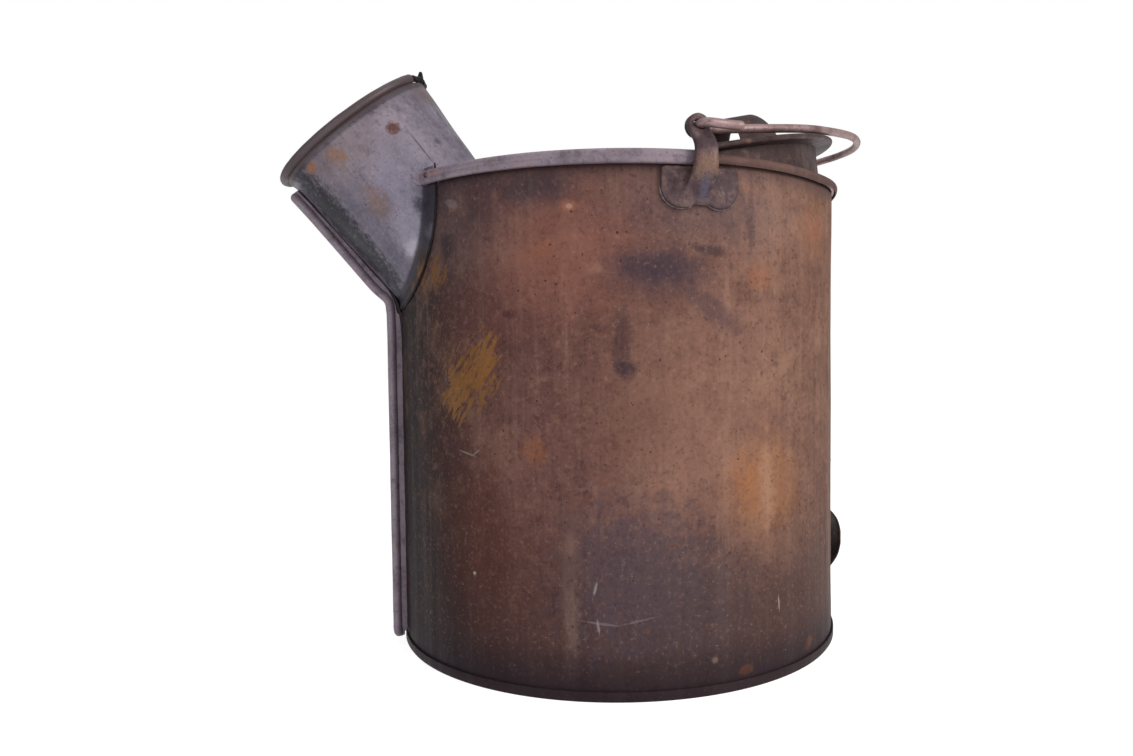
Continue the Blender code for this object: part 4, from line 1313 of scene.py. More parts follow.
@dataclass
class Spout:
    """The wide spout, its torn mouth with the wire in its roll, and the space that it takes up."""

    top: float = 45.3
    under: float = 43.6
    side: float = 44.2
    roll_stand: float = 1.1
    curl: float = 1.95
    wire: float = 1.25
    roll_sheet: float = 0.7
    foot_bend: float = 2.5
    fold: float = 1.9
    steps: int = 176
    rise = math.radians(52.0)
    reach_out = 23.6
    reach_up = 34.5

    @classmethod
    def mouth(cls) -> Vector:
        """The middle of the mouth."""
        return Vector((-SIZES.body_radius - cls.reach_out, 0.0, SIZES.rim_height + cls.reach_up))

    @classmethod
    def along(cls) -> Vector:
        """The direction down the spout's axis."""
        return Vector((math.cos(cls.rise), 0.0, -math.sin(cls.rise)))

    @classmethod
    def outward(cls) -> Vector:
        """The direction from the spout's axis to its top line."""
        return Vector((math.sin(cls.rise), 0.0, math.cos(cls.rise)))

    @property
    def tall(self) -> float:
        """Half the mouth roll's height."""
        return self.top + self.roll_stand

    @property
    def broad(self) -> float:
        """Half the mouth roll's width."""
        return self.side + self.roll_stand

    def at(self, station: float, height: float, across: float) -> Vector:
        """Places a point by the spout's own axis.

        Args:
            station: The distance down the axis from the mouth.
            height: The distance above the axis.
            across: The distance to the far side.

        Returns:
            The point.
        """
        return self.mouth() + self.along() * station + self.outward() * height + ACROSS * across

    def skin(self, station: float, angle: float, grow: float = 0.0) -> Vector:
        """Finds a point of the spout's sheet.

        The spout is round at the mouth, widens into an oval where it meets the body, and
        flares a little into the mouth's roll.

        Args:
            station: The distance down the axis from the mouth.
            angle: The turn about the axis in radians, from the top line.
            grow: How far outside the sheet the point lies.

        Returns:
            The point.
        """
        flare = math.exp(-max(station, 0.0) / 4.5)
        top = self.top - 0.062 * station + 0.2 * flare + grow
        bottom = self.under - 0.052 * station + 3.2 * flare + grow
        wide = self.side + 0.132 * station + grow
        middle = 1.0 + 0.14 * station
        reach = top - middle if math.cos(angle) > 0 else bottom + middle
        return self.at(station, middle + reach * math.cos(angle), wide * math.sin(angle))

    def space(self, name: str, grow: float) -> Piece:
        """Makes the solid that the spout's sheet encloses.

        Args:
            name: The solid's name.
            grow: How far outside the sheet it reaches.

        Returns:
            The solid.
        """
        stations = (-4.0, -1.0, 1.0, 4.0, 8.0, 14.0, 20.0, 45.0, 70.0, 112.0)
        turns = [2 * math.pi * j / self.steps for j in range(self.steps)]
        points = [self.skin(station, turn, grow) for station in stations for turn in turns]
        return solid(name, points, ring_faces(len(stations), self.steps, False))

    def landing(self, angle: float) -> tuple[float, bool]:
        """Finds where a line down the spout ends.

        Args:
            angle: The line's turn about the axis.

        Returns:
            The station, and whether the line lands on the cover.
        """
        low, high = 4.0, 120.0
        wall = SIZES.body_radius + SIZES.gap + SIZES.sheet / 2
        plane = SIZES.cover_middle + SIZES.cover_sheet / 2 + SIZES.gap + SIZES.sheet / 2
        for _ in range(40):
            station = (low + high) / 2
            point = self.skin(station, angle)
            if point.z <= plane and math.hypot(point.x, point.y) <= wall:
                high = station
            else:
                low = station
        return high, self.skin(high, angle).z > plane - 0.05

    def column(self, angle: float) -> list[Vector]:
        """Draws one line down the spout, through the bend at its foot and along the foot.

        Args:
            angle: The line's turn about the axis.

        Returns:
            The points of the line.
        """
        end, on_cover = self.landing(angle)
        foot_end = self.skin(end, angle)
        side = abs(math.sin(angle))
        wall = SIZES.body_radius + SIZES.gap + SIZES.sheet / 2
        if on_cover:
            width = max(6.0 * (1 - side**8), 0.4)
            away = Vector((foot_end.x + SIZES.body_radius - 19.0, foot_end.y, 0.0)).normalized()
        else:
            width = 2.6 + 3.2 * side
            away = Vector((0.0, foot_end.y, (foot_end.z - SIZES.rim_height + 12.8) * 1.15)).normalized()
        bend = min(self.foot_bend, width)

        def laid(distance: float) -> Vector:
            """A point of the foot, laid on the wall or on the cover."""
            point = foot_end + away * distance
            if not on_cover:
                point.x = -math.sqrt(wall**2 - point.y**2)
            return point

        stations = [2.0, 3.0, 4.0, 5.5, 7.0, 9.0, 12.0]
        stations += [12.0 + (end - bend - 12.0) * i / 9 for i in range(1, 9)]
        points = [self.dented(self.skin(station, angle), station, end, angle) for station in stations]
        first, last = self.skin(end - bend, angle), laid(bend)
        for t in (0.0, 0.16, 0.33, 0.5, 0.68, 0.84, 1.0):
            points.append(first * (1 - t) ** 2 + foot_end * 2 * t * (1 - t) + last * t * t)
        return points + [laid(bend + width * share) for share in (0.35, 0.7, 1.0)]

    def dented(self, point: Vector, station: float, end: float, angle: float) -> Vector:
        """Works a point of the skin gently out of true, less near the mouth and the foot.

        Args:
            point: The point.
            station: Its station.
            end: Where its line ends.
            angle: Its turn about the axis.

        Returns:
            The moved point.
        """
        share = rise(station, 6.0, 18.0) * (1.0 - rise(station, end - 16.0, end - 5.0))
        away = self.outward() * math.cos(angle) + ACROSS * math.sin(angle)
        return point + away * 0.55 * share * noise.noise(point / 24.0)

    def sheet(self) -> Piece:
        """Makes the spout's sheet with its foot, as thick as the wall."""
        columns = [self.column(2 * math.pi * (j + 0.5) / self.steps) for j in range(self.steps)]
        rows = len(columns[0])
        mesh = bpy.data.meshes.new("wide_spout")
        points = [columns[j][i] * MM for i in range(rows) for j in range(self.steps)]
        faces = []
        for i in range(rows - 1):
            a, b = i * self.steps, (i + 1) * self.steps
            for j in range(self.steps):
                after = (j + 1) % self.steps
                faces.append((a + j, b + j, b + after, a + after))
        mesh.from_pydata([tuple(point) for point in points], [], faces)
        piece = linked("wide_spout", mesh)
        shell = piece.modifiers.new("Sheet", "SOLIDIFY")
        shell.thickness = SIZES.sheet * MM
        shell.offset = 0.0
        shell.use_even_offset = True
        return turned_outwards(harden(piece))

    def roll(self) -> Piece:
        """Makes the mouth's roll, which lies round the wire with small dents in it."""
        section = thickened(arc((0.0, 0.0), self.curl, 236.0, -100.0, 14), self.roll_sheet)
        points = []
        for i in range(self.steps):
            angle = 2 * math.pi * i / self.steps
            outward = self.outward() * math.cos(angle) + ACROSS * math.sin(angle)
            size = 1.0 + 0.05 * noise.noise(Vector((math.cos(angle), math.sin(angle), 0.0)) * 7.0)
            centre = self.at(0.0, self.tall * math.cos(angle), self.broad * math.sin(angle))
            points += [centre + (outward * u - self.along() * v) * size for u, v in section]
        return solid("roll", points, ring_faces(self.steps, len(section), True))

    def tear(self) -> Piece:
        """Makes the space of the torn stretch at the mouth's top, with a ragged edge."""
        knots = [(-40.0, 1.4), (-35.0, 2.9), (-24.0, 2.5), (-15.0, 4.1), (-6.0, 5.3), (1.0, 4.2)]
        knots += [(8.0, 5.0), (15.0, 3.0), (21.0, 3.5), (25.0, 1.6)]
        draw = random.Random(12)
        edge = [(p.x, p.y + draw.uniform(-0.45, 0.45)) for p in smooth_path(knots, 4)]
        points = []
        for degrees, depth in edge:
            angle = math.radians(degrees)
            for height in (self.tall - 12.4, self.tall + 15.6):
                for station in (-9.0, depth):
                    points.append(self.at(station, height * math.cos(angle), height * math.sin(angle)))
        faces = []
        for i in range(len(edge) - 1):
            a, b = 4 * i, 4 * i + 4
            faces += [(a, a + 1, b + 1, b), (a + 2, b + 2, b + 3, a + 3)]
            faces += [(a, b, b + 2, a + 2), (a + 1, a + 3, b + 3, b + 1)]
        last = 4 * (len(edge) - 1)
        faces += [(0, 2, 3, 1), (last, last + 1, last + 3, last + 2)]
        return solid("tear", points, faces)

    def scrap(self) -> Piece:
        """Makes the scrap of the torn roll that still stands up beside the wire's end."""
        corners = [(-3.0, -1.8, 8.6), (0.5, -2.6, 9.9), (6.5, -2.5, 9.6), (6.5, -2.3, -3.4)]
        corners += [(3.6, -1.8, -2.6), (2.2, -1.1, -0.6), (-0.4, -0.2, 2.6), (-1.0, -0.9, 5.4)]
        points = []
        for base in (self.tall, self.tall + SIZES.sheet):
            points += [self.at(station, base + height, across) for station, height, across in corners]
        return solid("scrap", points, ring_faces(2, len(corners), False))

    def horn(self) -> tuple[list[Vector], list[float]]:
        """Draws the bent end of the mouth's wire.

        Returns:
            Its path from the tip to where the roll takes it in, and its girth.
        """
        knots = [self.at(-5.6, self.tall + 4.6, 3.4), self.at(-2.6, self.tall + 1.8, 4.6)]
        knots += [self.at(-0.6, self.tall - 0.6, 8.2), self.rim_point(16.0)]
        path, girth = WireBench.rounded(smooth_path(knots, 8), self.wire * 0.8)
        thick = [1.05 + 0.75 * rise(i, 3, 16) - 0.8 * rise(i, 18, 27) for i in range(len(path))]
        thick = [share * (1.0 + 0.2 * noise.noise(point / 1.6)) for share, point in zip(thick, path)]
        count = len(path) - 4
        return path[:count], [share * end for share, end in zip(thick, girth)][:count]

    def rim_point(self, degrees: float) -> Vector:
        """A point in the middle of the mouth's roll."""
        angle = math.radians(degrees)
        return self.at(0.0, self.tall * math.cos(angle), self.broad * math.sin(angle))

    def build(self, shop: Workshop, zinc: Material, wire: Material, cover: "Covers") -> None:
        """Makes the spout and the wire in its mouth.

        Args:
            shop: The workshop.
            zinc: The spout's material.
            wire: The near-black material of the wire and the torn fold, dark as painted shade.
            cover: The cover that the foot is fitted to.
        """
        piece = self.sheet()
        join(piece, self.roll())
        cut(piece, self.tear())
        join(piece, self.scrap())
        horn, girth = self.horn()
        swollen = (self.wire + SIZES.gap + 0.05) / self.wire
        cut(piece, shop.wires.draw("wire_way", horn, self.wire, [swollen] * len(horn), 12))
        clear = shop.lathe.turn("clear", thickened(cover.line(), SIZES.cover_sheet + 2 * SIZES.gap + 0.04))
        cut(clear, self.space("tube_way", SIZES.sheet / 2 + 0.03))
        cut(piece, clear, cover.tab(self, -1.0, SIZES.gap + 0.04), cover.tab(self, 1.0, SIZES.gap + 0.04))
        shop.settle(piece, zinc, Seat(Body.PAIL, Slot.ZINC, ("spout",)))

        places = [(1.2, -3.4, -16.0), (2.6, -1.0, -7.0), (1.6, -0.2, -1.0)]
        places += [(-2.2, 2.2, 2.2), (-6.2, 5.0, 3.2)]
        torn = [self.rim_point(-37.0)]
        torn += [self.at(station, self.tall + height, across) for station, height, across in places]
        line, ends = shop.wires.rounded(smooth_path(torn, 10), self.fold)
        ends = [end * (0.85 + 0.45 * noise.noise(point / 2.4)) for end, point in zip(ends, line)]
        # The torn fold is near black: painted shade
        fold = shop.wires.draw("shade_darkened_fold", line, self.fold, ends, 12)
        shop.settle(fold, wire, Seat(Body.PAIL, Slot.ZINC))

        inside = [self.rim_point(16.0 + 302.0 * i / 160) for i in range(1, 161)]
        path = horn + inside
        thread = shop.wires.draw("wire_in_mouth", path, self.wire, girth + [1.0] * len(inside), 12)
        shop.settle(thread, wire, Seat(Body.PAIL, Slot.WIRE, ("mouth_wire",)))


@dataclass
class BodyWall:
    """The rolled wall with its bead, the base let in at its foot, and the crusts on it."""

    dent_reach: float = 110.0
    dent_depth: float = 3.0
    swelling: float = 1.3
    plate_height: float = 6.9
    ripple: float = 0.5

    def out_of_round(self, point: Vector) -> Vector:
        """Knocks the back right of the rim in a little, and swells it beside that.

        Args:
            point: A point of the wall.

        Returns:
            Its place on the worn wall.
        """
        angle = math.degrees(math.atan2(point.y, point.x))
        swell = self.swelling * math.exp(-(((angle + 43.0) / 9.0) ** 2))
        swell -= self.dent_depth * math.exp(-(((angle + 12.0) / 16.0) ** 2))
        swell *= rise(point.z, SIZES.rim_height - self.dent_reach, SIZES.rim_height)
        soft = noise.noise(point / 46.0 + Vector((7.0, 3.0, 1.0))) + 0.5 * noise.noise(point / 19.0)
        free = rise(point.z, 10.0, 40.0) * (1.0 - rise(point.z, 205.0, 240.0))
        free *= rise(180.0 - abs(angle), 3.0, 16.0)
        swell -= self.ripple * free * (0.5 + 0.5 * soft)
        factor = 1.0 + swell / max(math.hypot(point.x, point.y), 1.0)
        return Vector((point.x * factor, point.y * factor, point.z))

    def build(self, shop: Workshop, sheet: Material, spout: Spout) -> None:
        """Makes the wall and the base.

        Args:
            shop: The workshop.
            sheet: Their material.
            spout: The spout that the wall opens into.
        """
        levels = [SIZES.chime_height / 4] + [6.0 * i for i in range(1, 42)] + [SIZES.rim_height - 3.5]
        line = [(SIZES.wall_middle, level) for level in levels]
        line += arc((SIZES.bead_radius, SIZES.rim_height), SIZES.bead_curl, 218.0, -50.0, 16)
        wall = bent(shop.lathe.turn("rolled_wall", thickened(line, SIZES.sheet)), self.out_of_round)
        cut(wall, spout.space("bore", -SIZES.sheet - 2 * SIZES.gap))
        radius, notch, rim = SIZES.body_radius, SIZES.spout_notch, SIZES.rim_height
        cut(wall, box("notch", (-radius - 13.0, -notch, rim - 4.4), (-radius + 27.0, notch, rim + 9.0)))
        shop.settle(wall, sheet, Seat(Body.PAIL, Slot.SHEET, ("body_shell",)))

        inside = radius - SIZES.sheet - SIZES.gap - SIZES.sheet / 2
        outside = radius + SIZES.gap + SIZES.sheet / 2
        foot, plate = SIZES.sheet / 2, self.plate_height
        knots = [(0.0, plate), (60.0, plate), (inside - 2.7, plate - 0.9), (inside - 0.5, plate - 1.6)]
        knots += [(inside, plate - 2.7), (inside, foot + 0.5), (inside + 0.35, foot)]
        knots += [(outside - 0.35, foot), (outside, foot + 0.5), (outside, SIZES.chime_height)]
        base = shop.lathe.turn("inset_base", thickened(knots, SIZES.sheet))
        shop.settle(base, sheet, Seat(Body.PAIL, Slot.SHEET, ("base_plate",)))

    def crusts(self, shop: Workshop, lime: Material, rust: Material) -> None:
        """Strews lime spots and rust blisters over the wall.

        Args:
            shop: The workshop.
            lime: The material of the lime spots.
            rust: The material of the blisters.
        """
        for name, material, density, sizes, seed in (
            ("lime_spots", lime, 900.0, (0.2, 0.45), 5),
            ("rust_blisters", rust, 2000.0, (0.25, 0.75), 9),
        ):
            columns, rows = 150, 40
            radius = SIZES.body_radius
            points, faces = [], []
            for i in range(columns + 1):
                angle = math.radians(-162.0 + 324.0 * i / columns)
                for j in range(rows + 1):
                    height = 10.0 + 226.0 * j / rows
                    point = Vector((radius * math.cos(angle), radius * math.sin(angle), height))
                    points.append(self.out_of_round(point))
            for i in range(columns):
                for j in range(rows):
                    a, b = i * (rows + 1) + j, (i + 1) * (rows + 1) + j
                    faces.append((a, b, b + 1, a + 1))
            mesh = bpy.data.meshes.new(name)
            mesh.from_pydata([point * MM for point in points], [], faces)
            crusts = shop.crusts.strew(name, linked(name, mesh), density, sizes, seed)
            shop.settle(crusts, material, Seat(Body.PAIL, Slot.SHEET))


@dataclass
class FrontRib:
    """The standing, beaded strip down the spout's underside and the body's front."""

    bead: float = 2.5
    stand: float = 5.9
    web: float = 1.6

    def build(self, shop: Workshop, sheet: Material, spout: Spout) -> None:
        """Makes the rib.

        Args:
            shop: The workshop.
            sheet: Its material.
            spout: The spout that it follows.
        """
        wall = -SIZES.body_radius
        end = spout.landing(math.pi)[0]
        stations = (8.2, end * 0.287, end * 0.517, end * 0.746, end * 0.85)
        lie = [spout.skin(station, math.pi) for station in stations]
        foot = spout.skin(end, math.pi).z
        stands = [self.stand - less for less in (1.3, 0.9, 0.5, 0.1, 0.0)]
        beads = [point - spout.outward() * stand for point, stand in zip(lie, stands)]
        beads.append(Vector((wall - self.stand - 1.7, 0.0, foot)))
        beads.append(Vector((wall - self.stand - 0.3, 0.0, foot - 5.6)))
        chime = SIZES.chime_height
        for level in (foot - 13.6, foot * 0.72, foot * 0.46, foot * 0.205, chime + 9.0, chime + 2.5):
            beads.append(Vector((wall - self.stand, 0.0, level)))
        beads.append(Vector((wall - self.stand + 1.3, 0.0, chime - 1.7)))
        path = smooth_path(beads, 12)
        wavy = []
        for point in path:
            wave = Vector((0.12 * noise.noise(point / 14.0), 0.3 * noise.noise(point / 22.0), 0.0))
            wavy.append(point + wave)
        wavy, girth = shop.wires.rounded(wavy, self.bead)
        rib = shop.wires.draw("beaded_rib", wavy, self.bead, girth, 16)

        gap = SIZES.gap
        fold = SIZES.body_radius + gap + SIZES.sheet
        inner = [point - spout.outward() * (SIZES.sheet / 2 + gap) for point in lie]
        inner += [Vector((wall - 4.0, 0.0, foot + 3.0)), Vector((wall - 2.0, 0.0, foot - 2.6))]
        inner += [Vector((wall - 2.0, 0.0, foot - 8.1)), Vector((wall - gap, 0.0, foot - 10.1))]
        inner += [Vector((wall - gap, 0.0, chime + 2.4)), Vector((-fold - 0.8, 0.0, chime + 1.0))]
        inner.append(Vector((-fold - 1.0, 0.0, chime - 1.0)))
        outline = [(point.x, point.z) for point in path[::3] + inner[::-1]]
        join(rib, prism("web", outline, -self.web / 2, self.web / 2))
        shop.settle(rib, sheet, Seat(Body.PAIL, Slot.SHEET, ("front_rib",)))


@dataclass
class Covers:
    """The fixed half cover, the hinged half lid and the strap handle on it."""

    neck_depth: float = 30.8
    neck_clear: float = 7.5
    neck_taper: float = 2.5
    arch_place: float = 86.0
    arch_span: float = 33.0
    arch_rise: float = 34.4
    arch_strap: float = 26.0
    arch_sheet: float = 1.5

    def line(self) -> Outline:
        """Draws half of the cover's section: flat, then hemmed over the bead and under it."""
        hem = [(-3.15, 0.0), (-1.05, -0.55), (0.15, -1.75), (0.3, -3.05), (0.0, -3.85), (0.3, -4.65)]
        hem += [(0.15, -5.75), (-0.55, 0.05 - SIZES.hem_depth), (-1.45, -SIZES.hem_depth)]
        soft = smooth_path(hem, 3)
        edge = [(SIZES.hem_radius + p.x, SIZES.cover_middle + p.y) for p in soft]
        return [(0.0, SIZES.cover_middle), (60.0, SIZES.cover_middle), (110.0, SIZES.cover_middle), *edge]

    def tab(self, spout: Spout, side: float, grow: float) -> Piece:
        """Makes the rounded end of the cover's hem, which lies on the spout's side.

        Args:
            spout: The spout that it lies on.
            side: -1 for the near tab and 1 for the far one.
            grow: How much larger it is made to clear the real one.

        Returns:
            The tab.
        """
        wall = -SIZES.body_radius
        low = SIZES.cover_middle - SIZES.hem_depth - 0.35 - grow
        high = SIZES.cover_middle + 0.25 + grow
        middle, half = (low + high) / 2, (high - low) / 2
        turns = [math.radians(-90.0 + 15.0 * i) for i in range(13)]
        end = wall + 2.9 - grow + half
        tip = [(end - half * math.cos(turn), middle + half * math.sin(turn)) for turn in turns]
        outline = [(wall + 11.5, low), *tip, (wall + 11.5, high)]
        near, far = SIZES.spout_notch - 20.4, SIZES.spout_notch + 5.6
        spans = (near, far) if side > 0 else (-far, -near)
        tab = prism("tab", outline, *spans)
        combine(tab, spout.space("far", SIZES.sheet / 2 + SIZES.gap + SIZES.sheet + grow), "INTERSECT")
        cut(tab, spout.space("near", SIZES.sheet / 2 + (SIZES.gap if grow == 0 else 0.03)))
        return tab

    def barrel(self, radius: float, low: float, high: float) -> Piece:
        """A round bar along the hinge's axis."""
        return prism("barrel", arc((0.0, SIZES.hinge_height), radius, 0.0, 345.0, 23), low, high)

    def leaf(self, inner: float, outer: float, low: float, high: float) -> Piece:
        """The strip that joins a knuckle to its sheet."""
        middle, half = SIZES.cover_middle, SIZES.cover_sheet / 2
        return box("leaf", (inner, low, middle - half), (outer, high, middle + half))

    def worn(self, point: Vector) -> Vector:
        """Works the flat of the cover or the lid gently out of true.

        Args:
            point: A point of the sheet.

        Returns:
            Its new place.
        """
        radius = math.hypot(point.x, point.y)
        flat = 1.0 - rise(radius, 96.0, 118.0)
        away = rise(abs(point.x), 8.0, 30.0)
        return point + Vector((0.0, 0.0, 0.4 * flat * away * noise.noise(point / 31.0)))

    def build_cover(self, shop: Workshop, material: Material, spout: Spout) -> None:
        """Makes the fixed half cover with the outer knuckles.

        Args:
            shop: The workshop.
            material: Its material.
            spout: The spout that stands through it.
        """
        cover = bent(shop.lathe.turn("half_cover", thickened(self.line(), SIZES.cover_sheet)), self.worn)
        far = SIZES.body_radius + 20.0
        slit = SIZES.hinge_slit
        cut(cover, box("back", (-slit, -far, 0.0), (far, far, SIZES.cover_middle + far)))
        cut(cover, spout.space("spout_hole", SIZES.sheet / 2 + SIZES.gap))
        join(cover, self.tab(spout, -1.0, 0.0), self.tab(spout, 1.0, 0.0))
        inner = SIZES.lid_leaf + 2 * SIZES.gap
        runs = ((-SIZES.cover_leaf, -inner), (inner, SIZES.cover_leaf))
        for low, high in runs:
            join(cover, self.leaf(-slit - 1.5, 0.0, low, high), self.barrel(SIZES.knuckle, low, high))
        for low, high in runs:
            cut(cover, self.barrel(SIZES.hinge_pin + SIZES.gap, low - 1.0, high + 1.0))
        shop.settle(cover, material, Seat(Body.PAIL, Slot.COVER, ("fixed_cover",)))

    def build_lid(self, shop: Workshop, material: Material) -> None:
        """Makes the hinged half lid with the neck that fits inside the body.

        Args:
            shop: The workshop.
            material: Its material.
        """
        middle, slit = SIZES.cover_middle, SIZES.hinge_slit
        lip = [(0.4, 0.0), (1.5, 0.1), (2.1, 0.7), (2.1, 1.35), (1.2, 1.95), (-0.4, 2.1), (-2.0, 1.95)]
        line = [(0.0, middle), (60.0, middle), (110.0, middle)]
        line += [(SIZES.body_radius + p.x, middle + p.y) for p in smooth_path(lip, 3)]
        half = bent(shop.lathe.turn("half_lid", thickened(line, SIZES.cover_sheet)), self.worn)
        top = SIZES.body_radius - self.neck_clear
        low = top - self.neck_taper
        wall = SIZES.cover_sheet / 2
        bottom = middle - self.neck_depth
        neck = [(low - wall, bottom), (low + wall, bottom), (top + wall, middle), (top - wall, middle)]
        join(half, shop.lathe.turn("neck", neck))
        far = SIZES.body_radius + 20.0
        cut(half, box("front", (-far, -far, 0.0), (slit, far, middle + far)))
        reach = SIZES.lid_leaf
        join(half, self.leaf(0.0, slit + 1.5, -reach, reach), self.barrel(SIZES.knuckle, -reach, reach))
        cut(half, self.barrel(SIZES.hinge_pin + SIZES.gap, -reach - 1.0, reach + 1.0))
        lift = lifted(SIZES.hinge_height, SIZES.lid_tilt)
        shop.settle(half, material, Seat(Body.LID, Slot.COVER, ("lid",)), lift)

    def build_handle(self, shop: Workshop, material: Material) -> None:
        """Makes the arched strap across the lid.

        Args:
            shop: The workshop.
            material: Its material.
        """
        base = SIZES.cover_middle + SIZES.cover_sheet / 2 + SIZES.gap
        span, up = self.arch_span, self.arch_rise
        half = [(span + 9.5, 1.0), (span + 4.2, 1.3), (span + 1.9, 3.4), (span, up * 0.35)]
        half += [(span - 6.0, up * 0.68), (span - 18.0, up * 0.925)]
        knots = [(self.arch_place, -across, base + height) for across, height in half]
        knots += [(self.arch_place, 0.0, base + up)]
        knots += [(x, -y, z) for x, y, z in reversed(knots[:-1])]
        path = smooth_path(knots, 10)
        widths = [1.14 - 0.46 * (point.z - base) / up for point in path]
        section = strap_section(self.arch_strap, self.arch_sheet)
        handle = swept("arched_strap", path, section, (1.0, 0.0, 0.0), widths)
        lift = lifted(SIZES.hinge_height, SIZES.lid_tilt)
        shop.settle(handle, material, Seat(Body.LID, Slot.COVER, ("lid_handle",)), lift)


